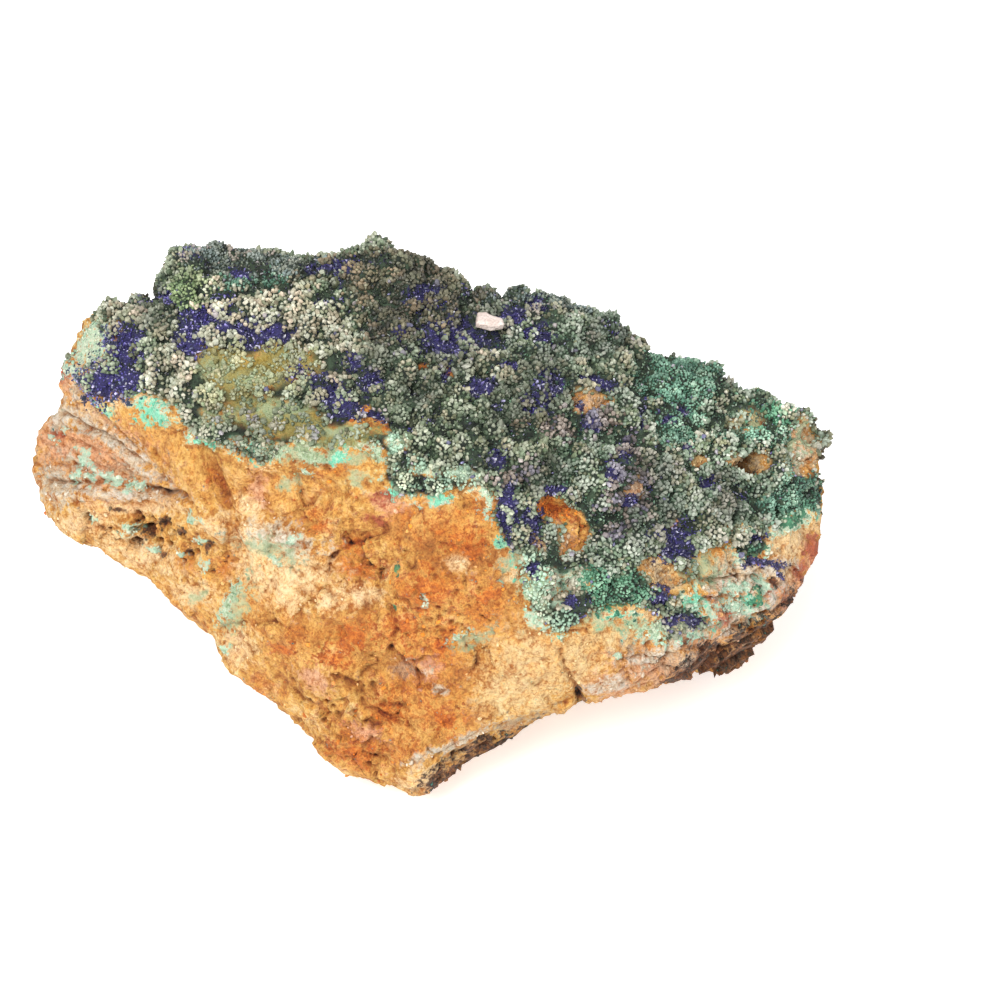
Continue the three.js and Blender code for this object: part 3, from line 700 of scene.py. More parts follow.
@dataclass(frozen=True)
class LimoniteFinish:
    """Limonite, broken open: an earthy iron ore that is dull, porous and full of fine grit.

    To the eye it is a soft ochre that varies from crumb to crumb and never shines. Hollows hold
    darker rust and painted shade, the deepest holes are painted near black, and raised grit is worn
    paler: each of these tints multiplies the colour beneath it. Painted shade, dark green, fills
    the gaps of the crust. Its IOR is that of clay, since pores and dust hide the ore's own.
    """

    name: str = "broken_limonite"
    ior: float = 1.55
    roughness: float = 0.88
    # The ochre, from its darkest crumbs to its palest, and where each tone lies in the noise.
    ground: tuple[tuple[float, str], ...] = (
        (0.4, "#A2672A"), (0.47, "#BF8C42"), (0.53, "#CEA055"), (0.6, "#DDBD82"),
    )
    # Darker rust for specks, cracks and grit; in hollows it is partly painted shade.
    rust_and_painted_shade: Triple = (0.62, 0.46, 0.34)
    on_ridges: Triple = (1.06, 1.1, 1.14)
    # Painted shade: the deepest holes go near black.
    painted_hole_shade: Triple = (0.12, 0.07, 0.05)
    rusty: Triple = (1.02, 0.86, 0.66)
    chalky: Triple = (1.0, 1.05, 1.16)
    # Painted shade in the gaps of the crust, dark green.
    gap_shade_colours: tuple[str, str] = ("#161E15", "#374834")
    # Half the width of the lines that each kind of crack draws, as a share of its noise.
    line_width: tuple[tuple[str, float], ...] = (
        ("crack", 0.02), ("thread", 0.03), ("wrinkle", 0.022),
    )
    # Relief of the grit and of the crumbs: its strength and its height in millimetres.
    grit_bump: Pair = (0.7, 0.25)
    crumb_bump: Pair = (0.9, 1.0)

    def build(self) -> Material:
        """Makes the rock's material, with every stain laid over the limonite.

        Returns:
            The material.
        """
        f = Finish(self.name, self.roughness, self.ior)
        place = f.add("TexCoord").outputs["Object"]
        noise = {
            name: f.add(
                "TexNoise",
                {
                    "Vector": place, "Scale": 1 / (pattern.width * MM), "Detail": pattern.detail,
                    "Roughness": pattern.roughness, "Distortion": pattern.bend,
                },
                noise_dimensions=pattern.dimensions,
            ).outputs[0]
            for name, pattern in LIMONITE_PATTERNS.items()
        }
        colour = self.ochre(f, noise)
        for name in EARTHS:
            colour = self.stained(f, name, colour, noise)
        colour = self.weathered_and_shaded(f, colour, noise)
        for name in ORES:
            # Painted shade fills the crust's gaps just under the azurite.
            if name == "azurite":
                colour = self.shaded(f, colour, noise)
            colour = self.stained(f, name, colour, noise)
        f.connect(colour, "Base Color")
        normal = {}
        for name, (strength, height) in (("grit", self.grit_bump), ("crumb", self.crumb_bump)):
            relief = {"Height": noise[name], "Strength": strength, "Distance": height * MM}
            normal = {"Normal": f.add("Bump", relief | normal).outputs[0]}
        f.connect(normal["Normal"], "Normal")
        return f.material

    def ochre(self, f: Finish, noise: dict[str, Socket]) -> Socket:
        """Makes the limonite's own colour.

        Args:
            f: The material's nodes.
            noise: The patterns.

        Returns:
            The colour.
        """
        both = f.add("Math", {0: noise["crumb"], 1: noise["cloud"]}, operation="ADD")
        tone = f.add("Math", {0: both.outputs[0], 1: 0.5}, operation="MULTIPLY")
        ramp = f.add("ValToRGB", {0: tone.outputs[0]})
        stops = ramp.color_ramp.elements
        (first, dark), *middle, (last, pale) = self.ground
        stops[0].position, stops[0].color = first, rgba(dark)
        stops[1].position, stops[1].color = last, rgba(pale)
        for position, colour in middle:
            stops.new(position).color = rgba(colour)
        return ramp.outputs[0]

    def weathered_and_shaded(self, f: Finish, colour: Socket, noise: dict[str, Socket]) -> Socket:
        """Lays rust, chalk, specks, cracks and painted shade in hollows and holes over the colour
        so far.

        Args:
            f: The material's nodes.
            colour: The colour beneath.
            noise: The patterns.

        Returns:
            The new colour.
        """
        hollow = f.add("Attribute", attribute_name="hollow").outputs["Fac"]
        line = {}
        for name, half in self.line_width:
            off = f.add("Math", {0: noise[name], 1: 0.5}, operation="SUBTRACT").outputs[0]
            away = f.add("Math", {0: off}, operation="ABSOLUTE").outputs[0]
            line[name] = f.add("MapRange", {0: away, 1: half, 2: 0.0, 3: 0.0, 4: 1.0}).outputs[0]
        # Threads run only in the rustier parts.
        rusted = f.add("MapRange", {0: noise["blush"], 1: 0.44, 2: 0.54, 3: 1.0, 4: 0.0}).outputs[0]
        thread = f.add("Math", {0: line["thread"], 1: rusted}, operation="MULTIPLY").outputs[0]
        for source, start, end, strength, tint in (
            (noise["blush"], 0.5, 0.3, 1.0, self.rusty),
            (noise["blush"], 0.5, 0.7, 1.0, self.chalky),
            (noise["speck"], 0.46, 0.3, 0.65, self.rust_and_painted_shade),
            (noise["speck"], 0.52, 0.7, 1.0, self.on_ridges),
            (line["wrinkle"], 0.0, 1.0, 0.5, self.rust_and_painted_shade),
            (line["crack"], 0.0, 1.0, 0.7, self.rust_and_painted_shade),
            (thread, 0.0, 1.0, 0.7, self.rust_and_painted_shade),
            # Rust and painted shade darken the hollows, and ridges are worn paler.
            (hollow, 0.05, 0.6, 1.0, self.rust_and_painted_shade),
            (hollow, -0.1, -0.6, 0.8, self.on_ridges),
            (noise["grit"], 0.45, 0.34, 0.6, self.rust_and_painted_shade),
            (noise["grit"], 0.55, 0.66, 0.5, self.on_ridges),
            # Painted shade: the deepest holes go near black.
            (hollow, 0.7, 1.5, 1.0, self.painted_hole_shade),
        ):
            span = {0: source, 1: start, 2: end, 3: 0.0, 4: strength}
            share = f.add("MapRange", span).outputs[0]
            tinted = f.add("Mix", {0: share, 4: (1, 1, 1), 5: tint}, data_type="VECTOR").outputs[1]
            colour = f.add("VectorMath", {0: colour, 1: tinted}, operation="MULTIPLY").outputs[0]
        return colour

    def shaded(self, f: Finish, colour: Socket, noise: dict[str, Socket]) -> Socket:
        """Lays painted shade, dark green, into the gaps of the crust.

        Args:
            f: The material's nodes.
            colour: The colour beneath.
            noise: The patterns.

        Returns:
            The new colour.
        """
        under = f.add("Attribute", attribute_name="painted_gap_shade").outputs["Fac"]
        tone = f.add("MapRange", {0: noise["crumb"], 1: 0.42, 2: 0.62}).outputs[0]
        dark, pale = (rgba(each) for each in self.gap_shade_colours)
        base = f.add("Mix", {0: tone, 6: dark, 7: pale}, data_type="RGBA").outputs[2]
        return f.add("Mix", {0: under, 6: colour, 7: base}, data_type="RGBA").outputs[2]

    @staticmethod
    def stained(f: Finish, name: str, colour: Socket, noise: dict[str, Socket]) -> Socket:
        """Lays one stain over the colour so far, with an edge that noise frays.

        Args:
            f: The material's nodes.
            name: The stain's name, which is also its attribute's on the mesh.
            colour: The colour beneath it.
            noise: The patterns.

        Returns:
            The new colour.
        """
        stain, grit, crumb = STAINS[name], noise["grit"], noise["crumb"]
        reach = f.add("Attribute", attribute_name=name).outputs["Fac"]
        for pattern, push in ((crumb, 5), (grit, 1.6)):
            pushed = {0: pattern, 1: push * stain.frayed, 2: reach}
            reach = f.add("Math", pushed, operation="MULTIPLY_ADD").outputs[0]
        # Noise averages a half, so the two pushes add about 3.3 to the reach.
        middle = 3.3 * stain.frayed
        share = f.add(
            "MapRange",
            {0: reach, 1: middle - 0.1, 2: middle + stain.soft, 3: 0.0, 4: stain.strength},
            interpolation_type="SMOOTHSTEP",
        ).outputs[0]
        mottle = f.add("Math", {0: grit, 1: crumb}, operation="ADD").outputs[0]
        tone = f.add("MapRange", {0: mottle, 1: 0.82, 2: 1.18}).outputs[0]
        one, other = (rgba(each) for each in stain.colours)
        own = f.add("Mix", {0: tone, 6: one, 7: other}, data_type="RGBA").outputs[2]
        return f.add("Mix", {0: share, 6: colour, 7: own}, data_type="RGBA").outputs[2]


@dataclass(frozen=True)
class GrainFinish:
    """A finish of small pieces that each carry a tint, varied from point to point by flecks. The
    grains' tints hold painted light and shade.

    fleck_mm is the flecks' width, and bump_mm the height of the relief that they raise.
    """

    name: str
    fleck_mm: float
    roughness: float
    ior: float
    bump_mm: float
    bump_strength: float = 0.6
    # How much darker and brighter the flecks make the tint.
    shades: Pair = (0.75, 1.2)

    def build(self) -> Material:
        """Makes a material that reads each piece's tint.

        Returns:
            The material.
        """
        f = Finish(self.name, self.roughness, self.ior)
        place = f.add("TexCoord").outputs["Object"]
        tint = f.add("Attribute", attribute_name="tint").outputs["Color"]
        scale = 1 / (self.fleck_mm * MM)
        fleck = f.add("TexNoise", {"Vector": place, "Scale": scale, "Detail": 2.0}).outputs[0]
        darkest, brightest = self.shades
        span = {0: fleck, 1: 0.3, 2: 0.7, 3: darkest, 4: brightest}
        shade = f.add("MapRange", span).outputs[0]
        bright = f.add("VectorMath", {0: tint, 1: shade}, operation="MULTIPLY").outputs[0]
        f.connect(bright, "Base Color")
        relief = {"Height": fleck, "Strength": self.bump_strength, "Distance": self.bump_mm * MM}
        f.connect(f.add("Bump", relief).outputs[0], "Normal")
        return f.material


# Malachite, grown as silky rounded grains: powder on them makes them matt, with a faint sheen.
# The powder is about 0.05 mm fine, so it is drawn at 0.28 mm.
GROWN_MALACHITE = GrainFinish("grown_malachite", 0.28, 0.6, 1.75, 0.06)
# Azurite, grown as tiny glassy crystals: dark blue faces with small hard glints. The steps on its
# faces are far under 0.1 mm, so they are drawn at 0.2 mm.
GROWN_AZURITE = GrainFinish("grown_azurite", 0.2, 0.42, 1.75, 0.02)
# Limonite, crumbled: dull earthy grit, as matt as the rock that it came from. Its dust is about
# 0.1 mm fine and is drawn at 0.3 mm.
CRUMBLED_LIMONITE = GrainFinish("crumbled_limonite", 0.3, 0.88, 1.55, 0.08)
# Pale stone, worn round: milky and slightly waxy, with the IOR of quartz. Its pits are about
# 0.1 mm wide and are drawn at 0.3 mm.
WORN_PALE_STONE = GrainFinish("worn_pale_stone", 0.3, 0.6, 1.54, 0.04)


# -------- meshes


@dataclass
class Surface:
    """A triangle mesh held as arrays, in millimetres, with values at its points."""

    points: Array
    faces: Array
    values: dict[str, Array] = field(default_factory=dict)

    def part(self, mine: Array) -> tuple[Surface, Array]:
        """Takes some of the faces.

        Args:
            mine: Which faces, as true or false.

        Returns:
            Their mesh, and its points' numbers in the whole.
        """
        kept, faces = np.unique(self.faces[mine], return_inverse=True)
        values = {key: value[kept] for key, value in self.values.items()}
        return Surface(self.points[kept], faces.reshape(-1, 3), values), kept

    def to_object(self, name: str, material: Material, smooth: bool = True) -> Object:
        """Makes a Blender object of it.

        Args:
            name: The piece's name.
            material: Its material.
            smooth: Whether its faces are shaded as one curved surface.

        Returns:
            The linked object, in metres.
        """
        mesh = bpy.data.meshes.new(name)
        mesh.vertices.add(len(self.points))
        mesh.vertices.foreach_set("co", (self.points * MM).astype(np.float32).ravel())
        mesh.loops.add(self.faces.size)
        mesh.loops.foreach_set("vertex_index", self.faces.astype(np.int32).ravel())
        mesh.polygons.add(len(self.faces))
        starts = np.arange(0, self.faces.size, 3, dtype=np.int32)
        mesh.polygons.foreach_set("loop_start", starts)
        mesh.polygons.foreach_set("use_smooth", np.full(len(self.faces), smooth))
        mesh.update(calc_edges=True)
        for key, values in self.values.items():
            if values.ndim == 1:
                layer = mesh.attributes.new(key, "FLOAT", "POINT")
                layer.data.foreach_set("value", values.astype(np.float32))
            else:
                layer = mesh.attributes.new(key, "FLOAT_COLOR", "POINT")
                colours = np.concatenate([values, np.ones((len(values), 1))], axis=1)
                layer.data.foreach_set("color", colours.astype(np.float32).ravel())
        mesh.materials.append(material)
        made = bpy.data.objects.new(name, mesh)
        bpy.context.scene.collection.objects.link(made)
        return made


def corner_normals(points: Array, faces: Array) -> Array:
    """Works out the outward direction at each point of a mesh.

    Args:
        points: The mesh's points.
        faces: Its triangles.

    Returns:
        One direction of length 1 per point.
    """
    a, b, c = (points[faces[:, i]] for i in range(3))
    across = np.cross(b - a, c - a)
    total = np.zeros_like(points)
    for i in range(3):
        np.add.at(total, faces[:, i], across)
    return total / np.maximum(np.linalg.norm(total, axis=1, keepdims=True), TINY)


def side_pairs(faces: Array) -> Array:
    """Lists the two points of each triangle's sides: all first sides, then second, then third."""
    return np.concatenate([faces[:, [0, 1]], faces[:, [1, 2]], faces[:, [2, 0]]])


def smoothed(values: Array, faces: Array, passes: int) -> Array:
    """Averages values over a mesh with their neighbours.

    Args:
        values: A row of values per point.
        faces: The mesh's triangles.
        passes: How many times they are averaged.

    Returns:
        The averaged values.
    """
    pairs = side_pairs(faces)
    count = np.bincount(pairs.ravel(), minlength=len(values))[:, None] + 1
    for _ in range(passes):
        total = values.copy()
        for column in range(values.shape[1]):
            for mine, other in (pairs.T, pairs.T[::-1]):
                total[:, column] += np.bincount(mine, values[other, column], len(values))
        values = total / count
    return values


def refined(surface: Surface, coarse: float, fine: float) -> Surface:
    """Splits long edges in half until each is short enough.

    Args:
        surface: A surface whose "detail" value says how fine each part becomes, from 0 to 1.
        coarse: Longest edge in millimetres where the detail is 0.
        fine: Longest edge in millimetres where it is 1.

    Returns:
        The split surface, with its values carried over.
    """
    most_rounds = 8
    points, faces, values = surface.points, surface.faces, dict(surface.values)
    for _ in range(most_rounds):
        pairs = np.sort(side_pairs(faces), axis=1)
        edges, which = np.unique(pairs, axis=0, return_inverse=True)
        length = np.linalg.norm(points[edges[:, 0]] - points[edges[:, 1]], axis=1)
        detail = values["detail"][edges].mean(axis=1)
        split = length > coarse + (fine - coarse) * detail
        if not split.any():
            break
        number = np.full(len(edges), -1)
        number[split] = len(points) + np.arange(split.sum())
        halves = edges[split]
        points = np.concatenate([points, points[halves].mean(axis=1)])
        for key, value in values.items():
            values[key] = np.concatenate([value, value[halves].mean(axis=1)])
        faces = split_faces(faces, number[which.ravel()].reshape(3, -1).T)
    return Surface(points, faces, values)


def split_faces(faces: Array, middles: Array) -> Array:
    """Splits triangles at the middles of their sides.

    Args:
        faces: The triangles.
        middles: For each side of each, the number of its middle point, or -1 where it stays whole.

    Returns:
        The new triangles.
    """
    cut = middles >= 0
    count = cut.sum(axis=1)
    made = [faces[count == 0]]
    for number, odd in ((1, cut), (2, ~cut)):
        rows = np.flatnonzero(count == number)
        turn = np.argmax(odd[rows], axis=1)
        order = (turn[:, None] + np.arange(3)) % 3
        a, b, c = np.take_along_axis(faces[rows], order, axis=1).T
        ab, bc, ca = np.take_along_axis(middles[rows], order, axis=1).T
        parts = ((a, ab, c), (ab, b, c)) if number == 1 else ((bc, c, ca), (a, b, bc), (a, bc, ca))
        made += [np.stack(part, axis=1) for part in parts]
    a, b, c = faces[count == 3].T
    ab, bc, ca = middles[count == 3].T
    parts = ((a, ab, ca), (ab, b, bc), (ca, bc, c), (ab, bc, ca))
    made += [np.stack(part, axis=1) for part in parts]
    return np.concatenate(made)


def triangles(mesh: bmesh.types.BMesh) -> tuple[Array, Array]:
    """Reads a triangulated mesh and frees it.

    Args:
        mesh: The mesh.

    Returns:
        Its points and its triangles.
    """
    points = np.array([vertex.co[:] for vertex in mesh.verts])
    faces = np.array([[vertex.index for vertex in face.verts] for face in mesh.faces])
    mesh.free()
    return points, faces


def node_surface(node: Object) -> Surface:
    """Reads a node's mesh as one joined surface.

    Args:
        node: The node's object.

    Returns:
        The surface in millimetres.
    """
    mesh = bmesh.new()
    mesh.from_mesh(node.data)
    bmesh.ops.remove_doubles(mesh, verts=mesh.verts, dist=WELD_MM * MM)
    bmesh.ops.triangulate(mesh, faces=mesh.faces)
    points, faces = triangles(mesh)
    return Surface(points / MM, faces)


def remeshed(node: Object, voxel: float) -> Surface:
    """Copies a node's mesh with even, fine faces.

    Args:
        node: The node's object.
        voxel: Size of the faces in millimetres.

    Returns:
        The new surface, as triangles.
    """
    copy = bpy.data.objects.new("remesh_source", node.data.copy())
    bpy.context.scene.collection.objects.link(copy)
    remesh = copy.modifiers.new("even", "REMESH")
    remesh.mode = "VOXEL"
    remesh.voxel_size = voxel * MM
    copy.modifiers.new("triangles", "TRIANGULATE")
    bpy.context.view_layer.update()
    mesh = copy.evaluated_get(bpy.context.evaluated_depsgraph_get()).to_mesh()
    points = np.empty(len(mesh.vertices) * 3, np.float32)
    mesh.vertices.foreach_get("co", points)
    faces = np.empty(len(mesh.loops), np.int32)
    mesh.loops.foreach_get("vertex_index", faces)
    made = Surface(points.reshape(-1, 3).astype(float) / MM, faces.reshape(-1, 3))
    bpy.data.objects.remove(copy)
    return made


# -------- the rock


@dataclass(frozen=True)
class Florets:
    """The crust's relief: rounded florets of malachite on broader clumps, with deep gaps between.

    Sizes are in millimetres.
    """

    clump: float = 5.0
    clump_height: float = 1.7
    floret: float = 2.3
    floret_height: float = 1.25
    valley: float = 6.5
    # A floret's radius, as a share of the usual distance between two.
    radius: float = 0.72
    flat: tuple[Patch, ...] = (
        P(-38, 37, 14, 4), P(-40, 19.6, 6, 4), P(-33, 21, 6, 4), P(-34, 12.6, 10, 3, -12),
    )

    def rise(self, home: Array, azurite: Array) -> tuple[Array, Array, Array]:
        """Works out the relief.

        Args:
            home: Places on the rock before its relief.
            azurite: How much azurite grows there, which leaves fewer florets.

        Returns:
            The clumps' height, how near each place is to a floret's crown from 0 to 1, and its
            floret's number.
        """
        uneven = warped(home, 0.8, 4, 24)
        near, owner, _ = cells(uneven, self.clump, 23)
        clump = self.clump_height * (0.15 + 0.85 * owner) * smoothstep(near, 0.8, 0.25)
        valley = smoothstep(np.abs(waves(home, self.valley, 29, 2)), 0.09, 0.02)
        ragged = uneven + 0.25 * waves(home, 0.9, 30)[:, None]
        near, owner, _ = cells(ragged, self.floret, 28)
        crown = np.sqrt(np.clip(1 - (near / self.radius) ** 2, 0, 1)) * (0.55 + 0.45 * owner)
        # Florets with a number below this share are missing: more in azurite, in valleys and
        # between the clumps.
        blue = smoothstep(azurite, -0.15, 0.2)
        missing = 0.06 + 0.52 * blue + 0.5 * valley + 0.2 * smoothstep(clump, 0.35, 0.05)
        crown *= smoothstep(owner, missing - 0.05, missing + 0.05)
        return clump, crown, owner

    def height(self, home: Array, azurite: Array, sight: Sight) -> Array:
        """Adds up the relief, which is lower and rougher where the crust is flat.

        Args:
            home: Places on the rock before its relief.
            azurite: How much azurite grows there.
            sight: The sight line that the flat parts are mapped along.

        Returns:
            One height per place, in millimetres.
        """
        clump, crown, _ = self.rise(home, azurite)
        flat = smoothstep(strongest(self.flat, sight.seen(home)), 0, 0.3)
        full = clump + self.floret_height * crown
        rough = 0.5 + 0.5 * self.floret_height * crown + 0.35 * waves(home, 2, 27, 2)
        return full * (1 - flat) + rough * flat


@dataclass(frozen=True)
class Groove:
    """A crease of the show side, or a ridge where its depth is below 0, in millimetres."""

    line: tuple[Pair, ...]
    half_width: float
    depth: float

    def reach(self, seen: Seen) -> Array:
        """Gives 1 on the crease's line, down to 0 at its sides.

        Args:
            seen: Where the points are seen.

        Returns:
            One number per point.
        """
        away = np.full(len(seen[0]), FAR_MM)
        for start, end in zip(self.line, self.line[1:]):
            away = np.minimum(away, to_segment(start, end, seen))
        return 1 - smoothstep(away, 0, 1.5 * self.half_width)


@dataclass(frozen=True)
class Layering:
    """A part that breaks in layers or furrows: their turn in degrees, spacing and depth in mm."""

    where: Patch
    turn: float
    pitch: float
    depth: float


@dataclass(frozen=True)
class ChipSize:
    """One size of tilted chips that the rock breaks into, in millimetres."""

    pitch: float
    step: float
    slope: float
    seed: int


G = Groove

# Creases and ridges of the show side.
GROOVES = (
    G(((-44.4, 8), (-42, 2), (-39.4, -7)), 1.1, 1.5),
    G(((-60.8, 17.2), (-52.5, 10.8), (-45.6, 2), (-40.5, -6)), 2.6, -1.1),
    G(((-23.4, -6), (-21.6, -10.5), (-20, -16)), 0.8, 0.9),
    G(((-24, 1.5), (-26, -5), (-34, -6)), 0.9, -0.7),
    G(((-34, -18), (-26, -24), (-21, -32)), 2.6, -0.9),
    G(((-28, -18), (-20, -21), (-12, -20)), 1.2, 0.7),
    G(((-16.5, -22.5), (-13.5, -24.9), (-12, -27)), 0.6, 1.1),
    G(((-16.5, -15.6), (-15.3, -19.8), (-16.5, -22.5)), 0.5, 0.7),
    G(((-19.6, -28), (-18, -30.5), (-14.5, -31.5)), 0.6, 0.8),
    G(((9.3, -22.5), (9.9, -25.8), (12, -29.5)), 0.5, 0.8),
    G(((-66, 13), (-58, 8.5), (-51, 3.2), (-46.5, 0.4)), 0.6, 1.2),
    G(((-68, 3), (-58, 2.8), (-49, 1), (-46, 0)), 0.5, 0.9),
    G(((-68, 0.8), (-58, 1), (-47, -0.8)), 0.8, -0.7),
    G(((-63, 9), (-55, 4), (-50, 0.5)), 0.35, 0.4),
    G(((-63.5, 17.5), (-56.4, 9.2), (-48.3, 1.8)), 0.5, 1.2),
    G(((-68, 5.6), (-60, 5.2), (-53, 2.4)), 0.3, 0.35),
    G(((-26, 3), (-22.5, 0), (-22, -5)), 0.5, 0.5),
    G(((4, -20), (10, -19.6), (16, -20)), 0.4, 0.4),
    G(((28, -11), (33, -12.4), (38, -11.4), (42, -12.6)), 0.4, 0.7),
    G(((30, -15), (35, -14.6), (39, -16.4)), 0.4, 0.8),
    G(((24, -20.6), (29, -20.2), (33, -18)), 0.5, 0.9),
    G(((36, -9.4), (37.4, -12), (36.6, -15)), 0.4, 0.7),
    G(((18, -24.4), (23, -23.4), (28, -22.6)), 0.4, 0.7),
    G(((20, -27.6), (24.6, -25.4), (27, -25.6)), 0.4, 0.8),
    G(((-24.6, -26), (-21, -27.6), (-20, -31), (-15, -33.6)), 0.5, 0.9),
)


@dataclass
class Rock:
    """The limonite rock: the node's own form, with breaks, pits, cracks and grit.

    Sizes are in millimetres, and a depth below 0 raises the rock.
    """

    node: Object
    sight: Sight
    fine_edge: float = 0.45
    coarse_edge: float = 1.5
    # Passes of smoothing for the node's directions, for its form, and for what counts as a hollow.
    passes: tuple[int, int, int] = (2, 3, 6)
    crust_sink: Pair = (0.8, 2.1)
    # How deep a hollow is that counts as 1.
    hollow_depth: float = 0.5
    # Faces with more detail than this belong to the finely broken face.
    face_detail: float = 0.86
    florets: Florets = Florets()
    home: Array | None = None
    surface: Surface | None = None
    facing: Array | None = None
    minerals: MineralMap | None = None

    chips: tuple[ChipSize, ...] = (
        ChipSize(5.5, 0.25, 0.8, 11), ChipSize(2.2, 0.1, 0.28, 15), ChipSize(1.0, 0.05, 0.16, 17),
    )
    layers: tuple[Layering, ...] = (
        Layering(P(-61, 6.5, 13, 8, -24), -34, 1.35, 0.45),
        Layering(P(8, -24, 11, 7, 10), 64, 0.9, 0.22),
        Layering(P(-5, -38, 9, 3, 28), 24, 1.1, 0.5),
        Layering(P(36, -21, 12, 3.4, 38), 30, 2.3, 1.2),
        Layering(P(-45, 4, 8, 5, -42), -52, 1.8, 0.3),
    )
    # Parts that break into rougher rubble.
    rubble: tuple[Patch, ...] = (
        P(37, -13, 10, 6, 20), P(-21, -33, 11, 8, -30), P(-24, -9, 9, 5), P(25, -22, 7, 4, 20),
    )
    # Hollows of the show side, and how deep they are.
    basins: tuple[tuple[Patch, float], ...] = (
        (P(-31.5, 0.6, 9, 5, -8), 1.5), (P(-29, -15, 7, 5, -10), -0.8),
        (P(9.5, -3.4, 4, 4.4, -30), 1.0), (P(-12, -12, 7, 5), -0.7), (P(-17, -26, 5, 4), 0.8),
        (P(36, -12, 4, 3, 20), 0.7), (P(-45.5, 38, 6, 2.8), -1.5),
    )
    # Parts that are eaten away into small open holes, how deep the holes are, and their spacing.
    vugs: tuple[tuple[Patch, float], ...] = (
        (P(-52, -5.4, 6.5, 3.6, -24), 2.2), (P(-45, -8.6, 4, 2.4, -30), 1.5),
        (P(-59, -3, 4, 2), 1.2), (P(37, -21.5, 11, 3, 38), 2.0), (P(-5, -38.6, 8, 2.4, 30), 1.6),
        (P(38.4, 5.6, 2, 1.4), 2.0), (P(-26, -33, 3, 3), 1.2), (P(-10, -16, 8, 8), 0.5),
    )
    vug_pitch: float = 1.5
    # Pits of the show side: where, half their width and their depth.
    pits: tuple[tuple[float, float, float, float], ...] = (
        (-52.8, -4.6, 1.2, 2.2), (-55, -6.9, 1, 1.8), (-61.9, -2.5, 0.7, 1.5),
        (37.6, 5.2, 1.4, 2.2), (-50.6, -3.6, 0.7, 1.4), (-49.5, -6.8, 0.6, 1.2),
        (-7.6, -18.6, 0.5, 0.8), (11.9, -29.6, 0.5, 1.4), (9.8, -14.8, 0.5, 1),
        (-45.5, 14.5, 0.5, 0.8), (-28.8, 24.2, 0.9, 1), (-1.6, 19.3, 0.8, 0.8),
        (-12.8, 17.5, 1.1, 1.6), (-25, 17, 1, 1.2),
    )
    # How far films of mint and turquoise stand above the rock.
    film_height: float = 0.35

    def form(self) -> None:
        """Shapes the rock's surface and maps its minerals."""
        before, within, _ = self.passes
        surface = self.split(node_surface(self.node), before)
        points, faces = smoothed(surface.points, surface.faces, within), surface.faces
        self.facing = surface.values["facing"]
        self.facing /= np.linalg.norm(self.facing, axis=1, keepdims=True)
        self.minerals = MineralMap(self.sight)
        self.minerals.survey(points, self.facing)
        fields = self.minerals.fields
        bare = smoothstep(fields["window"], -0.1, 0.15)
        covered = smoothstep(fields["crust"], -0.1, 0.4) * (1 - bare)
        self.home = points.copy()
        # The crust sinks into the rock by as much as it grows, and more toward its middle.
        low, high = self.crust_sink
        florets = self.florets.height(points, fields["azurite"], self.sight)
        grown = florets - low - (high - low) * fields["heart"]
        sunk = smoothstep(fields["crust"], 0, 0.6) * (0.5 * low + (high - low) * fields["heart"])
        relief = (1 - covered) * (self.broken(points) - sunk) + covered * grown
        points += self.facing * (relief + self.marks(points))[:, None]
        points[:, 2] = np.maximum(points[:, 2], self.foot())
        films = np.max([fields[name] for name in ("olive", "mint", "celadon")], axis=0)
        surface.points = points
        surface.values = {
            "detail": surface.values["detail"],
            **{name: fields[name] for name in STAINS},
            # Painted shade lies in the crust's gaps, but not under films of ore.
            "painted_gap_shade": covered * (1 - smoothstep(films, 0.15, 0.5)),
            "hollow": self.hollow(points, faces),
        }
        fields["covered"] = covered
        self.surface = surface

    def split(self, surface: Surface, passes: int) -> Surface:
        """Makes the node's faces small enough for the relief, finest on bare rock that shows.

        Args:
            surface: The node's own surface.
            passes: Passes of smoothing before its directions are read.

        Returns:
            The finer surface, with its directions as a value.
        """
        smooth = smoothed(surface.points, surface.faces, passes)
        facing = corner_normals(smooth, surface.faces)
        rough = MineralMap(self.sight)
        rough.survey(surface.points, facing)
        window = smoothstep(rough.fields["window"], -0.4, 0)
        bare = 1 - smoothstep(rough.fields["crust"], 0.2, 0.6) * (1 - window)
        detail = (0.72 + 0.28 * bare) * smoothstep(facing @ self.sight.toward, 0, 0.2)
        surface.values = {"detail": detail, "facing": facing}
        return refined(surface, self.coarse_edge, self.fine_edge)

    def foot(self) -> float:
        """Height of the flat foot, in millimetres."""
        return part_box(self.node.name)[0].z / MM

    def broken(self, points: Array) -> Array:
        """Works out the relief of bare rock: tilted chips and crumbs, with layers and furrows.

        Args:
            points: Places on the rock before its relief.

        Returns:
            Heights in millimetres.
        """
        uneven = warped(points, 0.7, 3, 1)
        height = 0.35 * waves(points, 6, 12, 2)
        for chip in self.chips:
            near, owner, tilt = cells(uneven, chip.pitch, chip.seed)
            height += chip.step * (owner - 0.5) + chip.slope * tilt + 0.3 * chip.step * (0.5 - near)
        height += 0.12 * waves(points, 0.8, 19)
        seen = across, up = self.sight.seen(points)
        shown = self.minerals.fields["shown"]
        height *= 1 + 0.9 * shown * smoothstep(strongest(self.rubble, seen), 0, 0.4)
        for part in self.layers:
            weight = shown * smoothstep(part.where.reach(seen), 0, 0.35)
            turn = math.radians(part.turn)
            over = (up * math.cos(turn) - across * math.sin(turn)) / part.pitch
            over = over + 0.5 * waves(points, 4, 13, 2)
            layer = over - np.floor(over)
            height = height * (1 - 0.5 * weight) + part.depth * weight * (layer - 0.5)
        return height

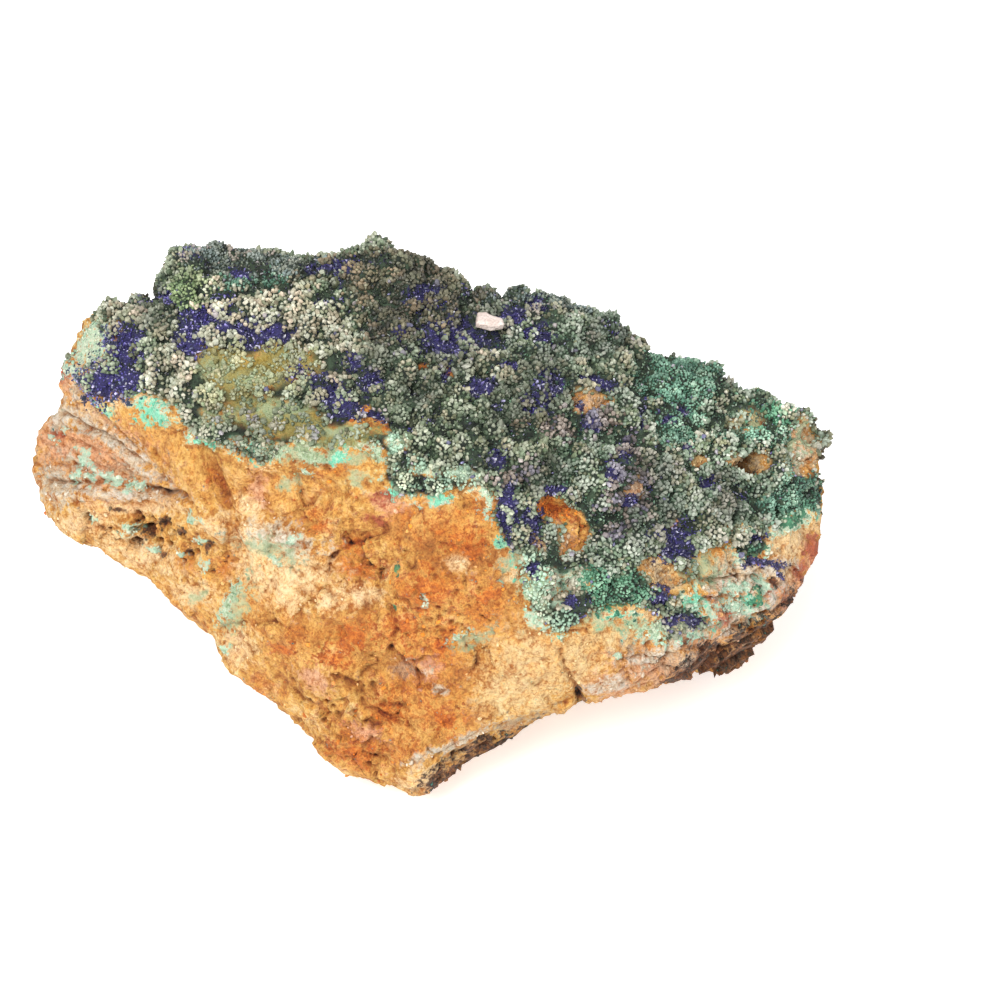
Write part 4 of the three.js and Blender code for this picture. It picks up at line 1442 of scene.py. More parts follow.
    def marks(self, points: Array) -> Array:
        """Works out the show side's creases, pits and vugs, and its raised films of ore.

        Args:
            points: Places on the rock before its relief.

        Returns:
            Heights in millimetres, mostly below 0.
        """
        across, up = self.sight.seen(points)
        across = across + 0.35 * waves(points, 1.6, 41)
        up = up + 0.35 * waves(points, 1.6, 42)
        seen = across, up
        height = np.zeros(len(points))
        for groove in GROOVES:
            height -= groove.depth * groove.reach(seen)
        for x, y, half, depth in self.pits:
            away = np.hypot(across - x, up - y)
            height -= depth * (1 - smoothstep(away, 0.5 * half, 1.3 * half))
        for patch, depth in self.basins:
            height -= depth * smoothstep(patch.reach(seen), 0, 0.45)
        ragged = points + 0.3 * waves(points, 1, 45)[:, None]
        near, owner, _ = cells(ragged, self.vug_pitch, 43)
        holes = smoothstep(near, 0.52, 0.3) * smoothstep(owner, 0.3, 0.4)
        for patch, depth in self.vugs:
            height -= depth * holes * smoothstep(patch.reach(seen), 0, 0.3)
        films = np.maximum(self.minerals.fields["mint"], self.minerals.fields["turquoise"])
        height += self.film_height * smoothstep(films + 0.3 * waves(points, 0.9, 44), 0, 0.3)
        return height * self.minerals.fields["shown"]

    def hollow(self, points: Array, faces: Array) -> Array:
        """Measures how far each point lies below its neighbourhood.

        Args:
            points: The rock's points.
            faces: Its triangles.

        Returns:
            Depths, where 1 is a full hollow and less than 0 a ridge.
        """
        around = smoothed(points, faces, self.passes[2])
        outward = corner_normals(around, faces)
        return np.einsum("ij,ij->i", around - points, outward) / self.hollow_depth

    def dress(self) -> list[Object]:
        """Makes the rock's two pieces: the finely broken face, and the rest.

        Returns:
            The pieces.
        """
        material = LimoniteFinish().build()
        faces = self.surface.faces
        fine = self.surface.values.pop("detail")[faces].mean(axis=1) > self.face_detail
        normals = corner_normals(self.surface.points, faces)
        pieces = []
        for name, mine in (("limonite_rock", ~fine), ("limonite_face", fine)):
            part, kept = self.surface.part(mine)
            piece = part.to_object(name, material)
            piece.data.normals_split_custom_set_from_vertices(normals[kept].tolist())
            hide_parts(self.node.name)
            pieces.append(piece)
        return pieces


# -------- grains that grow on the rock


class Form(Enum):
    """The shapes that grains grow in."""

    GRAIN = "grain"
    CRYSTAL = "crystal"

    def make(self, rng: np.random.Generator) -> tuple[Array, Array]:
        """Makes one of width about 1: its points and triangles."""
        return grain(rng) if self is Form.GRAIN else crystal(rng)


@dataclass(frozen=True)
class Habit:
    """How one kind of malachite grows: the colours of its crowns and sides, and foot, a dark
    painted shade for grains low in the gaps.

    grain is the least and greatest width of its grains in millimetres, and zones are the parts
    of the show side that it grows on.
    """

    tips: Palette
    body: Palette
    foot: str
    grain: Pair
    zones: tuple[Patch, ...] = ()


# The first habit grows wherever no other does, and a later one grows over an earlier one.
HABITS: dict[str, Habit] = {
    "sage": Habit(
        ("#A6AC94", "#B8BCA6", "#96A188", "#B0A98E"), ("#5C6F4E", "#4F6345", "#6D7252"),
        "#26321E", (0.6, 1.1),
    ),
    "creamy": Habit(
        ("#D0CCB6", "#C8C9B4", "#D4C2AA", "#BEC2AE"), ("#9A987C", "#909474", "#A2967C"),
        "#54563F", (0.7, 1.2),
        (
            P(-36, 30, 12, 5, -8), P(-45, 26, 5, 7), P(-49, 19, 4.5, 6), P(-25, 24, 3.6, 6, -10),
            P(-57, 29, 3, 4), P(-2.5, 20.5, 3, 2.4), P(-29, 26, 6, 4), P(10.4, -12.4, 3.4, 4.4),
            P(-43, 30.6, 4, 2.6),
        ),
    ),
    "brown": Habit(
        ("#8E896C", "#988568", "#808063", "#A09776"), ("#5A583F", "#4D503B", "#645C44"),
        "#26261A", (0.6, 1.1),
        (
            P(-15.5, 34, 8, 5), P(-8, 32, 5, 3), P(-28, 36, 12, 2.2), P(-13, 28, 8, 4),
            P(6.5, 12, 3.4, 2),
        ),
    ),
    "green": Habit(
        ("#B2B8A8", "#BEC2B2", "#A2AC9A", "#B8B4A2"), ("#657C60", "#72825E", "#566F54", "#7A7B5A"),
        "#2A3C28", (0.6, 1.05),
        (P(30, 5, 20, 17), P(18, -4, 12, 10), P(12, 26, 12, 5)),
    ),
    "teal": Habit(
        ("#86AE96", "#A0BCA4", "#769C84"), ("#437860", "#528468", "#3A6A54"),
        "#1B4636", (0.4, 0.75),
        (
            P(27, 18.6, 6, 4), P(27, 12.5, 3, 3), P(44, 0, 5, 3), P(-38, 34.4, 6, 1.6),
            P(40, 10.5, 5, 1.6), P(46, 1, 3, 5),
        ),
    ),
    "emerald": Habit(
        ("#84B090", "#A0B79A", "#6C9C7C"), ("#3E7E5C", "#4F8866", "#346C4E"),
        "#1A4632", (0.45, 0.85),
        (
            P(17.5, -13.5, 5, 3.4), P(38.6, -7.3, 2.2, 1.8), P(48, 2, 1.6, 1.2),
            P(40, 14, 4, 1.6, -20), P(-15, -10.2, 0.8, 0.7),
        ),
    ),
    "leafy": Habit(
        ("#939E78", "#A2A884", "#849468"), ("#566F42", "#657549", "#4A6238"),
        "#26381F", (0.5, 0.9),
        (P(-48, 32, 3, 3.6, 40), P(-45, 34, 2.4, 1.2)),
    ),
    "gritty": Habit(
        ("#939C94", "#82928E", "#A0A696", "#A89C90"), ("#4E5E54", "#465650", "#5A6450"),
        "#1E2826", (0.4, 0.8),
        (P(-38, 36.8, 11, 2.4), P(1, 31, 5, 2), P(8, 30.5, 6, 1.6)),
    ),
    "dusky": Habit(
        ("#A99E98", "#B5A79A", "#9A949E"), ("#71655E", "#7C6C5E", "#6A6478"),
        "#3A302C", (0.65, 1.1),
        (
            P(10.5, 11.4, 4.5, 2.4), P(20.6, 5.4, 2, 5), P(14.5, 12.4, 3, 1.8),
            P(19.5, 2, 3.6, 4.6), P(3, 3.4, 4, 1.4), P(16.4, -4, 3, 2, -20), P(-20.4, 12.6, 3, 2),
        ),
    ),
    "minty": Habit(
        ("#BFD0B4", "#D2D2B8", "#A9C6AC"), ("#95B198", "#AFB89A", "#85A58C"),
        "#6A8468", (0.5, 0.9),
        (
            P(4.4, -13, 2.8, 5), P(8, -18.2, 5, 1.8), P(-11, 4, 3.4, 1.6), P(-16, 8.4, 3.4, 2.4),
            P(-5.8, 3.6, 4, 1.8), P(44.6, -3.4, 4, 1.2, 10), P(-10, 0.8, 4, 1), P(32, -15, 3, 2),
        ),
    ),
    "mossy": Habit(
        ("#A9AC98", "#BBB6A2", "#9DA990", "#A8A2A6"), ("#7C8868", "#72805F", "#8C8662"),
        "#5A6648", (0.6, 1.3),
        (P(-37, 12.5, 12, 3.6, -14), P(-26, 10.5, 6, 3)),
    ),
    "olive": Habit(
        ("#AEB294", "#A6AD8A", "#B6B18A"), ("#9C9E76", "#948C56", "#93A17C"),
        "#86804C", (0.5, 1.2),
        (P(-40, 19.6, 6.4, 4), P(-33, 21, 5.4, 4.2)),
    ),
}


def grain(rng: np.random.Generator) -> tuple[Array, Array]:
    """Makes one uneven rounded grain of width about 1.

    Args:
        rng: Source of its unevenness.

    Returns:
        Its points and 20 triangles.
    """
    shape = bmesh.new()
    bmesh.ops.create_icosphere(shape, subdivisions=1, radius=0.5)
    points, faces = triangles(shape)
    turn, _ = np.linalg.qr(rng.normal(size=(3, 3)))
    points = points @ turn * rng.uniform(0.66, 1.26, (len(points), 1))
    return points, faces


def crystal(rng: np.random.Generator) -> tuple[Array, Array]:
    """Makes one stubby azurite blade with a slanted tip, of length about 1.

    Args:
        rng: Source of its unevenness.

    Returns:
        Its points and triangles.
    """
    sides = 5
    half_width, half_thickness, taper = 0.32, 0.2, 0.9
    turns = (np.arange(sides) + rng.uniform(0, 0.5, sides)) * 2 * math.pi / sides
    ring = np.stack([half_width * np.cos(turns), half_thickness * np.sin(turns)], axis=1)
    low = np.column_stack([ring, np.full(sides, -0.5)])
    high = np.column_stack([ring * taper, rng.uniform(0.1, 0.35, sides)])
    tip = np.array([[rng.uniform(-0.12, 0.12), 0, 0.5]])
    points = np.concatenate([low, high, tip])
    faces = []
    for i in range(sides):
        j = (i + 1) % sides
        faces += [[i, j, sides + j], [i, sides + j, sides + i], [sides + i, sides + j, 2 * sides]]
    return points, np.array(faces)


@dataclass
class Growth:
    """Grains spread over the rock and joined into meshes."""

    rock: Rock
    rng: np.random.Generator

    def throw(self, per_mm2: float, worth: Array) -> dict[str, Array]:
        """Throws points evenly over part of the rock's surface.

        Args:
            per_mm2: Points to a square millimetre.
            worth: For each of the rock's points, whether grains may grow there.

        Returns:
            What lies at each thrown point: every mineral's field, its place, its home before the
            relief, and its directions.
        """
        surface = self.rock.surface
        faces = surface.faces[worth[surface.faces].any(axis=1)]
        a, b, c = (surface.points[faces[:, i]] for i in range(3))
        area = np.linalg.norm(np.cross(b - a, c - a), axis=1) / 2
        count = int(area.sum() * per_mm2)
        chosen = self.rng.choice(len(area), count, p=area / area.sum())
        shares = self.rng.dirichlet((1, 1, 1), count)
        corners = faces[chosen]
        fields = self.rock.minerals.fields | {
            "at": surface.points,
            "normal": corner_normals(surface.points, surface.faces),
            "facing": self.rock.facing,
            "home": self.rock.home,
        }
        return {
            name: np.einsum("ij,ij...->i...", shares, values[corners])
            for name, values in fields.items()
        }

    def roomy(self, found: dict[str, Array], grown: Array, gap: float) -> dict[str, Array]:
        """Keeps the grains that have room.

        Args:
            found: What lies at each thrown point, with the size of the grain there.
            grown: Whether a grain may grow at each.
            gap: The room that each grain keeps, as a share of its size.

        Returns:
            What lies at the grains that are kept.
        """
        picked = np.flatnonzero(grown)
        picked = picked[self.spaced(found["at"][picked], found["size"][picked] * gap)]
        return {name: values[picked] for name, values in found.items()}

    @staticmethod
    def spaced(at: Array, gap: Array) -> Array:
        """Keeps points that stay clear of the ones kept before them.

        Args:
            at: Places in millimetres, in the order that they are tried.
            gap: The distance that each keeps.

        Returns:
            Numbers of the points that are kept.
        """
        size = float(gap.max())
        shelf: dict[tuple[int, int, int], list[Triple]] = {}
        steps = [(i, j, k) for i in (-1, 0, 1) for j in (-1, 0, 1) for k in (-1, 0, 1)]
        kept = []
        rows = zip(np.floor(at / size).astype(int).tolist(), at.tolist(), (gap**2).tolist())
        for number, ((x, y, z), (px, py, pz), reach) in enumerate(rows):
            near = (place for i, j, k in steps for place in shelf.get((x + i, y + j, z + k), ()))
            if all((px - a) ** 2 + (py - b) ** 2 + (pz - c) ** 2 >= reach for a, b, c in near):
                shelf.setdefault((x, y, z), []).append((px, py, pz))
                kept.append(number)
        return np.array(kept, int)

    def turned(self, outward: Array, lean: float) -> Array:
        """Gives each grain its own axes.

        Args:
            outward: The direction that each grain grows in.
            lean: How far the grains lean from it.

        Returns:
            Three axes per grain, the last of which points about outward.
        """
        axis = outward + lean * self.rng.normal(size=outward.shape)
        axis /= np.linalg.norm(axis, axis=1, keepdims=True)
        side = np.cross(axis, self.rng.normal(size=outward.shape))
        side /= np.linalg.norm(side, axis=1, keepdims=True)
        return np.stack([side, np.cross(axis, side), axis], axis=1)

    def tints(self, palette: Palette, count: int, spread: Pair) -> Array:
        """Draws linear colours from a palette, each a little lighter or darker.

        Args:
            palette: sRGB hex colours.
            count: How many are drawn.
            spread: The least and greatest brightness.

        Returns:
            One colour per grain.
        """
        colours = np.array([linear(colour) for colour in palette])
        drawn = colours[self.rng.integers(len(colours), size=count)]
        return drawn * self.rng.uniform(*spread, (count, 1))

    def joined(
        self, form: Form, at: Array, axes: Array, scale: Array, tips: Array, feet: Array
    ) -> Surface:
        """Joins many small shapes into one mesh.

        Args:
            form: The shape that they grow in.
            at: Where each grain's middle lies.
            axes: Each grain's own axes.
            scale: Each grain's size along its axes.
            tips: Each grain's linear colour at its tip.
            feet: Each grain's linear colour at its foot, darker as painted shade.

        Returns:
            The mesh, with a tint at each point.
        """
        kinds = 16
        shapes = [form.make(self.rng) for _ in range(kinds)]
        which = self.rng.integers(kinds, size=len(at))
        local = np.stack([points for points, _ in shapes])[which]
        faces = np.stack([corners for _, corners in shapes])[which]
        points = np.einsum("nvi,nij->nvj", local * scale[:, None, :], axes) + at[:, None, :]
        faces = faces + (np.arange(len(at)) * local.shape[1])[:, None, None]
        # Painted shade: each piece darkens from its tip's colour down to its foot's.
        height = smoothstep(local[..., 2], -0.4, 0.35)[..., None]
        tint = feet[:, None, :] * (1 - height) + tips[:, None, :] * height
        return Surface(points.reshape(-1, 3), faces.reshape(-1, 3), {"tint": tint.reshape(-1, 3)})


@dataclass
class MalachiteCrust(Growth):
    """The malachite crust: rough grains set close together over the florets."""

    per_mm2: float = 16.0
    gap: float = 0.6
    # How far a grain's middle lies above the rock, as a share of its size.
    seat: float = 0.12
    lean: float = 0.4
    # How uneven the grains' three widths are, and how much longer they grow outward.
    spread: Pair = (0.7, 1.15)
    stretch: Pair = (1.0, 1.8)
    # Painted shade: the share of its tip's brightness that a grain's foot has.
    foot_shade: float = 0.45
    # Triangles of one grain.
    triangles: int = 20
    # How far the zones' edges waver, and how far single grains stray over them, in millimetres.
    waver: float = 1.8
    stray: float = 0.6
    # Painted shade and light over parts of the crust: how much darker the dark parts get and how
    # much lighter the light ones.
    painted_contrast: Pair = (0.48, 0.34)
    # Parts of the crust with painted shade.
    dark: tuple[Patch, ...] = (
        P(-15.8, 26.4, 6, 6), P(-18, 21, 4.4, 4), P(6.8, 18.6, 6, 7), P(-6.8, 22, 5, 3.6),
        P(-12, 17, 5, 4), P(2, 15, 5, 6), P(7, 4, 5, 4.4), P(23, -3, 7, 7), P(33.8, 3.4, 3, 3),
        P(23, 4.4, 6, 4), P(-52, 28.6, 4, 5), P(34, -1, 4, 3.4), P(16, 25, 5, 4), P(-4, 29, 6, 5),
        P(-11, 34, 6, 5),
    )
    # Parts of the crust with painted light.
    light: tuple[Patch, ...] = (
        P(37, 11, 11, 8), P(45, -0.6, 4, 3), P(27, 15, 6, 5), P(38, 12.8, 4, 3), P(-25, 31, 4, 3),
        P(-21, 12.6, 4, 3), P(-17, 9, 6, 4.4), P(-45, 31, 7, 4), P(-30, 31, 8, 3),
    )
    lilac: Palette = ("#8F8C9C", "#B4AEB6", "#77769A", "#C0B6B4")

    def habit_at(self, found: dict[str, Array], sight: Sight) -> Array:
        """Picks what grows at each thrown point.

        Args:
            found: What lies at the thrown points.
            sight: The sight line that the zones are mapped along.

        Returns:
            The habit's number in HABITS, or -1 where none grows.
        """
        names, home, count = list(HABITS), found["home"], len(found["home"])
        across, up = sight.seen(home)
        across = across + self.waver * waves(home, 4, 61) + self.rng.normal(0, self.stray, count)
        up = up + self.waver * waves(home, 4, 62) + self.rng.normal(0, self.stray, count)
        chosen = np.zeros(count, int)
        hidden = found["shown"] < 0.5
        for number, name in enumerate(names):
            reach = strongest(HABITS[name].zones, (across, up))
            chosen = np.where((reach > 0) & ~hidden, number, chosen)
        wild = waves(found["at"], 9, 63)
        chosen = np.where(hidden & (wild > 0.25), names.index("green"), chosen)
        chosen = np.where(hidden & (wild < -0.3), names.index("brown"), chosen)
        fringe = found["crust"] + self.rng.normal(0, 0.2, count) < 0.05
        window = found["window"] + self.rng.normal(0, 0.15, count) > 0.02
        low = found["at"][:, 2] < GROUND_CLEARANCE_MM
        return np.where(fringe | window | low, -1, chosen)

    def grown(self, sight: Sight) -> dict[str, Array]:
        """Throws the grains and keeps those that the florets have room for.

        Args:
            sight: The sight line that the zones are mapped along.

        Returns:
            What lies at each grain, with its habit, its size and its place on its floret.
        """
        found = self.throw(self.per_mm2, self.rock.minerals.fields["covered"] > 0.05)
        habit = self.habit_at(found, sight)
        clump, crown, owner = self.rock.florets.rise(found["home"], found["azurite"])
        least, greatest = np.array([kind.grain for kind in HABITS.values()])[habit].T
        size = least + (greatest - least) * self.rng.random(len(habit)) ** 1.3
        size *= 0.75 + 0.3 * crown
        blue = smoothstep(found["azurite"], -0.1, 0.2)
        chance = smoothstep(crown, 0.1 + 0.15 * blue, 0.3 + 0.15 * blue)
        grown = (habit >= 0) & (self.rng.random(len(habit)) < chance)
        found |= {"habit": habit, "size": size, "clump": clump, "crown": crown, "owner": owner}
        return self.roomy(found, grown, self.gap)

    def coloured(self, found: dict[str, Array], sight: Sight) -> Array:
        """Gives each grain the colour of its habit, with painted light and shade: paler and lighter
        the higher up it sits, darker low down.

        Args:
            found: What lies at each grain.
            sight: The sight line that the dark and light parts are mapped along.

        Returns:
            One linear colour per grain.
        """
        count, crown = len(found["size"]), found["crown"]
        # Painted light and shade: the higher a grain sits on its floret and clump, the lighter and
        # paler it is.
        high_up = 0.55 * crown + 0.45 * found["clump"] / self.rock.florets.clump_height
        cloud = 1 + 0.18 * waves(found["home"], 5, 66, 2)
        light = (0.68 + 0.56 * high_up) * cloud * self.rng.uniform(0.9, 1.08, count)
        pale = np.clip(1.1 * crown + self.rng.normal(0, 0.2, count), 0.15, 1)[:, None]
        tint = np.empty((count, 3))
        # Up to this paleness a grain goes from its foot's colour, a painted shade, to its body's,
        # then to its tip's.
        middle = 0.4
        for number, kind in enumerate(HABITS.values()):
            mine = found["habit"] == number
            owner, share = found["owner"][mine], pale[mine]
            body, tips, foot = (
                self.of_floret(colours, owner) for colours in (kind.body, kind.tips, (kind.foot,))
            )
            deep = foot + (body - foot) * share / middle
            lit = body + (tips - body) * (share - middle) / (1 - middle)
            tint[mine] = np.where(share < middle, deep, lit)
        near_blue = smoothstep(found["azurite"], -0.4, 0.2)
        stray = self.rng.random(count) < 0.01 + 0.06 * near_blue
        tint[stray] = self.tints(self.lilac, stray.sum(), (0.5, 1.0))
        return tint * (light * self.painted_light_and_shade(found["home"], sight))[:, None]

    def dress(self, sight: Sight) -> list[Object]:
        """Makes the crust's pieces.

        Args:
            sight: The sight line that the zones are mapped along.

        Returns:
            The pieces, each a band of the crust.
        """
        found = self.grown(sight)
        size, count = found["size"], len(found["size"])
        outward = 0.6 * found["normal"] + 0.4 * found["facing"]
        outward /= np.linalg.norm(outward, axis=1, keepdims=True)
        at = found["at"] + outward * (self.seat * size)[:, None]
        scale = size[:, None] * self.rng.uniform(*self.spread, (count, 3))
        scale[:, 2] *= self.rng.uniform(*self.stretch, count)
        tint = self.coloured(found, sight)
        axes = self.turned(outward, self.lean)
        material = GROWN_MALACHITE.build()
        parts = self.triangles * count // TRIANGLES_PER_PIECE + 1
        bands = np.array_split(np.argsort(at[:, 0]), parts)
        pieces = []
        for number, mine in enumerate(bands, 1):
            tips = tint[mine]
            # Painted shade at each grain's foot.
            feet = self.foot_shade * tips
            mesh = self.joined(Form.GRAIN, at[mine], axes[mine], scale[mine], tips, feet)
            piece = mesh.to_object(f"malachite_grains_{number}", material, smooth=False)
            pieces.append(piece)
        LOG.info("malachite: %d grains", count)
        return pieces

    def painted_light_and_shade(self, home: Array, sight: Sight) -> Array:
        """Says how much painted shade darkens, or painted light lightens, the crust at each place.

        Args:
            home: Places on the rock before its relief.
            sight: The sight line that the dark and light parts are mapped along.

        Returns:
            A factor for each place's colour.
        """
        seen = sight.seen(home)
        reaches = (strongest(patches, seen) for patches in (self.dark, self.light))
        dark, light = (smoothstep(reach, 0, 0.5) for reach in reaches)
        darker, lighter = self.painted_contrast
        return (1 - darker * dark) * (1 + lighter * light)

    def of_floret(self, palette: Palette, owner: Array) -> Array:
        """Draws linear colours: most grains share their floret's, and a few have another.

        Args:
            palette: The colours to draw from.
            owner: Each grain's floret, as a number from 0 to 1.

        Returns:
            One colour per grain.
        """
        colours = np.array([linear(colour) for colour in palette])
        shared = (owner * 997).astype(int) % len(colours)
        own = self.rng.integers(len(colours), size=len(owner))
        return colours[np.where(self.rng.random(len(owner)) < 0.8, shared, own)]


@dataclass
class AzuriteSprays(Growth):
    """Fine azurite crystals that carpet the gaps between the florets."""

    per_mm2: float = 9.0
    gap: float = 0.62
    seat: float = 0.15
    lean: float = 0.7
    spread: Pair = (0.8, 1.2)
    size: Pair = (0.35, 0.8)
    palette: Palette = (
        "#423C7C", "#342F62", "#504890", "#28244C", "#726BA2",
        "#4B4486", "#1E1A3A", "#A29CBE", "#5E647E", "#3C4048",
    )
    # Painted shade: the crystals darken toward this colour at their feet.
    foot: str = "#1A1846"
    # Painted glints: pale colours for a few crystals, as if their faces caught the light.
    painted_glints: Palette = ("#C9C7E2", "#DCDCE6", "#A9A6D6")
    # Crystals in the crevices that malachite has partly replaced, at the left and at the right.
    # Their dark colours are partly painted shade of the crevices.
    mossy: Palette = (
        "#2A3624", "#384632", "#526046", "#2E3024", "#4C4C3E", "#2A2842", "#76826A",
    )
    verdant: Palette = ("#3A5C44", "#4C7256", "#66866A", "#2C4834", "#86A084", "#5C6E54")

    def grown(self) -> dict[str, Array]:
        """Throws the crystals and keeps those that lie in azurite or in a crevice.

        Returns:
            What lies at each crystal, with its size and whether it lies in a patch of azurite.
        """
        found = self.throw(self.per_mm2, self.rock.minerals.fields["covered"] > -1)
        count = len(found["azurite"])
        _, crown, _ = self.rock.florets.rise(found["home"], found["azurite"])
        film = np.maximum(found["olive"], found["mint"] - 0.1)
        crevice = (found["covered"] > 0.5) & (crown < 0.1) & (film < 0)
        found["mapped"] = found["azurite"] + self.rng.normal(0, 0.15, count) > 0.06
        grown = found["mapped"] | (crevice & (self.rng.random(count) < 0.6))
        allowed = (crown < 0.35) | (found["covered"] < 0.5)
        high = found["at"][:, 2] > GROUND_CLEARANCE_MM
        found["size"] = self.rng.uniform(*self.size, count)
        return self.roomy(found, grown & allowed & high, self.gap)

    def dress(self) -> list[Object]:
        """Makes the azurite's piece.

        Returns:
            The piece.
        """
        found = self.grown()
        size, home, outward = found["size"], found["home"], found["normal"]
        count = len(size)
        at = found["at"] + outward * (self.seat * size)[:, None]
        scale = size[:, None] * self.rng.uniform(*self.spread, (count, 3))
        feet = np.tile(linear(self.foot), (count, 1))
        tips = self.tints(self.palette, count, (0.6, 1.4))
        # The blue is brighter toward the left end.
        tips *= (1.6 - 0.65 * smoothstep(home[:, 0], -42, -8))[:, None]
        blue = found["mapped"] | (waves(home, 6, 91) > 0.4)
        tips[~blue] = self.tints(self.mossy, (~blue).sum(), (0.6, 1.4))
        green = ~blue & (home[:, 0] + self.rng.normal(0, 6, count) > 12)
        tips[green] = self.tints(self.verdant, green.sum(), (0.6, 1.3))
        # Painted shade: crystals in the crevices are darker still at their feet.
        feet[~blue] *= 0.3
        # Painted glints on a few crystals.
        bright = self.rng.random(count) < np.where(blue, 0.08, 0.02)
        tips[bright] = self.tints(self.painted_glints, bright.sum(), (0.6, 1.0))
        axes = self.turned(outward, self.lean)
        mesh = self.joined(Form.CRYSTAL, at, axes, scale, tips, feet)
        piece = mesh.to_object("azurite_crystals", GROWN_AZURITE.build(), smooth=False)
        LOG.info("azurite crystals: %d", count)
        return [piece]


@dataclass
class LimoniteCrumbs(Growth):
    """Loose-looking crumbs that stud the bare limonite."""

    per_mm2: float = 3.0
    gap: float = 1.0
    lean: float = 0.6
    spread: Pair = (0.6, 1.3)
    # Painted shade: the share of its tip's brightness that a crumb's foot has.
    foot_shade: float = 0.85
    size: Pair = (0.35, 0.85)
    palette: Palette = ("#CF9850", "#DDB070", "#C27C36", "#B3652A", "#D6A460", "#C98A45")

    def grown(self) -> dict[str, Array]:
        """Throws the crumbs and keeps those on bare rock, most of them on films of mint.

        Returns:
            What lies at each crumb, with its size.
        """
        found = self.throw(self.per_mm2, self.rock.minerals.fields["covered"] < 0.5)
        count = len(found["azurite"])
        on_mint = smoothstep(found["mint"], 0.05, 0.3)
        chance = 0.04 + 0.06 * waves(found["at"], 3, 95, 2) + 0.9 * on_mint
        in_window = smoothstep(found["window"], 0, 0.1) * smoothstep(found["heart"], 0.1, 0.3)
        chance += 0.6 * in_window
        allowed = (found["covered"] < 0.5) & (found["at"][:, 2] > GROUND_CLEARANCE_MM)
        grown = allowed & (self.rng.random(count) < chance)
        least, greatest = self.size
        found["size"] = least + (greatest - least) * self.rng.random(count) ** 2
        return self.roomy(found, grown, self.gap)

    def dress(self) -> list[Object]:
        """Makes the crumbs' piece.

        Returns:
            The piece.
        """
        found = self.grown()
        count = len(found["size"])
        tips = self.tints(self.palette, count, (0.85, 1.05))
        for name, stain in STAINS.items():
            reach = found[name] + self.rng.normal(0, 0.15, count)
            share = 0.9 * smoothstep(reach, -0.1, 0.25)[:, None]
            tips = tips * (1 - share) + self.tints(stain.colours, count, (0.8, 1.15)) * share
        scale = found["size"][:, None] * self.rng.uniform(*self.spread, (count, 3))
        # Painted shade at each crumb's foot.
        axes, feet = self.turned(found["normal"], self.lean), self.foot_shade * tips
        mesh = self.joined(Form.GRAIN, found["at"], axes, scale, tips, feet)
        piece = mesh.to_object("limonite_crumbs", CRUMBLED_LIMONITE.build(), smooth=False)
        LOG.info("limonite crumbs: %d", count)
        return [piece]


@dataclass
class PaleChip:
    """The loose chip of pale stone that lies on the crust. Sizes are in millimetres."""

    node: Object
    voxel: float = 0.12
    passes: int = 4
    # Its relief, from the broadest: height, width and repeats of each layer, and its seed.
    relief: tuple[tuple[float, float, int, int], ...] = ((0.1, 1.3, 2, 71), (0.05, 0.4, 1, 72))
    light: str = "#DDD0C8"
    shade: str = "#C9B5AA"
    blotch: float = 0.9

    def dress(self) -> list[Object]:
        """Makes the chip's piece, worn round at its edges and slightly pitted.

        Returns:
            The piece.
        """
        surface = remeshed(self.node, self.voxel)
        surface.points = smoothed(surface.points, surface.faces, self.passes)
        outward = corner_normals(surface.points, surface.faces)
        rise = sum(
            height * waves(surface.points, width, seed, octaves)
            for height, width, octaves, seed in self.relief
        )
        surface.points += outward * rise[:, None]
        lit = (0.5 + 0.5 * waves(surface.points, self.blotch, 73, 2))[:, None]
        light, shade = np.array(linear(self.light)), np.array(linear(self.shade))
        surface.values["tint"] = light * lit + shade * (1 - lit)
        piece = surface.to_object("pale_stone_chip", WORN_PALE_STONE.build())
        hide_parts(self.node.name)
        return [piece]


# -------- stage


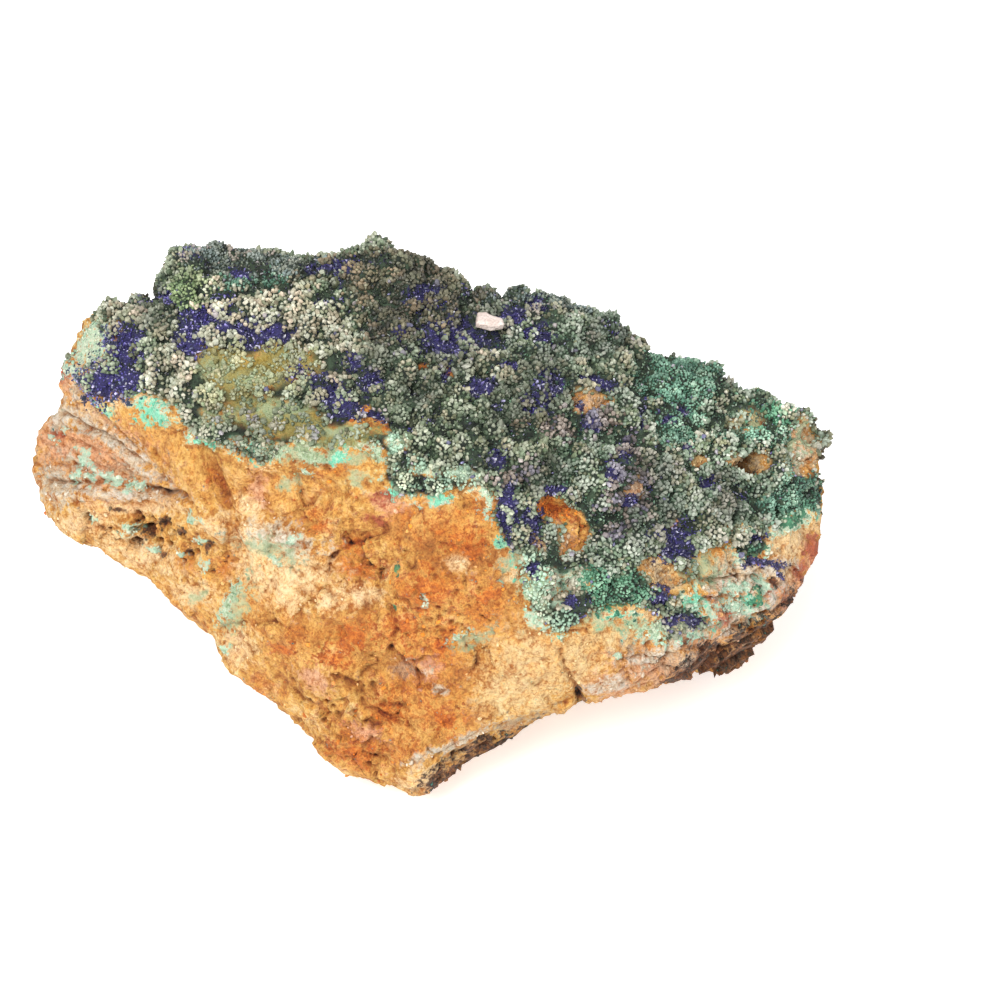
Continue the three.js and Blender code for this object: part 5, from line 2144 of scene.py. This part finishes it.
@dataclass(frozen=True)
class Stage:
    """A pale paper floor and soft studio light. Places and sizes are in metres."""

    # Paper, matt: an even near-white that takes a soft shadow. It glows a little, so that the
    # shadow stays light.
    floor_colour: str = "#F4F4F4"
    floor_roughness: float = 0.9
    floor_ior: float = 1.5
    floor_glow: float = 0.5
    floor_size: float = 6.0
    # Each softbox hangs somewhere, with its strength in watts.
    softboxes: tuple[tuple[str, Triple, float], ...] = (
        ("key_light", (-0.35, -0.7, 0.95), 18.0), ("fill_light", (0.75, -0.45, 0.5), 3.0),
    )
    softbox_size: float = 0.7
    middle: Triple = (0.0, 0.0, 0.03)
    sky: float = 0.46

    def build(self) -> None:
        """Makes the floor, the lights and the sky."""
        finish = Finish("matt_paper", self.floor_roughness, self.floor_ior)
        finish.shader.inputs["Base Color"].default_value = rgba(self.floor_colour)
        finish.shader.inputs["Emission Color"].default_value = (1, 1, 1, 1)
        finish.shader.inputs["Emission Strength"].default_value = self.floor_glow
        half = self.floor_size / 2 / MM
        corners = np.array([[-1, -1, 0], [1, -1, 0], [1, 1, 0], [-1, 1, 0]]) * half
        sheet = Surface(corners, np.array([[0, 1, 2], [0, 2, 3]]))
        floor = sheet.to_object("floor", finish.material)
        for name, place, watts in self.softboxes:
            self.softbox(name, place, watts)
        world = bpy.data.worlds.new("studio")
        world.use_nodes = True
        world.node_tree.nodes["Background"].inputs[0].default_value = (1, 1, 1, 1)
        world.node_tree.nodes["Background"].inputs[1].default_value = self.sky
        bpy.context.scene.world = world
        bpy.context.scene.view_settings.view_transform = "Standard"

    def softbox(self, name: str, place: Triple, watts: float) -> None:
        """Hangs a square light that faces the specimen.

        Args:
            name: The light's name.
            place: Where it hangs.
            watts: Its strength.
        """
        data = bpy.data.lights.new(name, "AREA")
        data.size = self.softbox_size
        data.energy = watts
        light = bpy.data.objects.new(name, data)
        light.location = place
        facing = Vector(place) - Vector(self.middle)
        light.rotation_euler = facing.to_track_quat("Z", "Y").to_euler()
        bpy.context.scene.collection.objects.link(light)


def main() -> None:
    """Builds the dressed specimen around the frame."""
    logging.basicConfig(level=logging.INFO, format="%(name)s: %(message)s")
    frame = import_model()
    sight = Sight()
    sight.camera()
    Stage().build()
    rock = Rock(frame["nodes"]["malachite_specimen"], sight)
    rock.form()
    pieces = rock.dress()
    pieces += MalachiteCrust(rock, np.random.default_rng(SEED)).dress(sight)
    pieces += AzuriteSprays(rock, np.random.default_rng(SEED + 1)).dress()
    pieces += LimoniteCrumbs(rock, np.random.default_rng(SEED + 2)).dress()
    pieces += PaleChip(frame["nodes"]["pale_chip"]).dress()
    for piece in pieces:
        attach(piece, "root")
        LOG.info("%s: %d triangles", piece.name, len(piece.data.polygons))


if __name__ == "__main__":
    main()
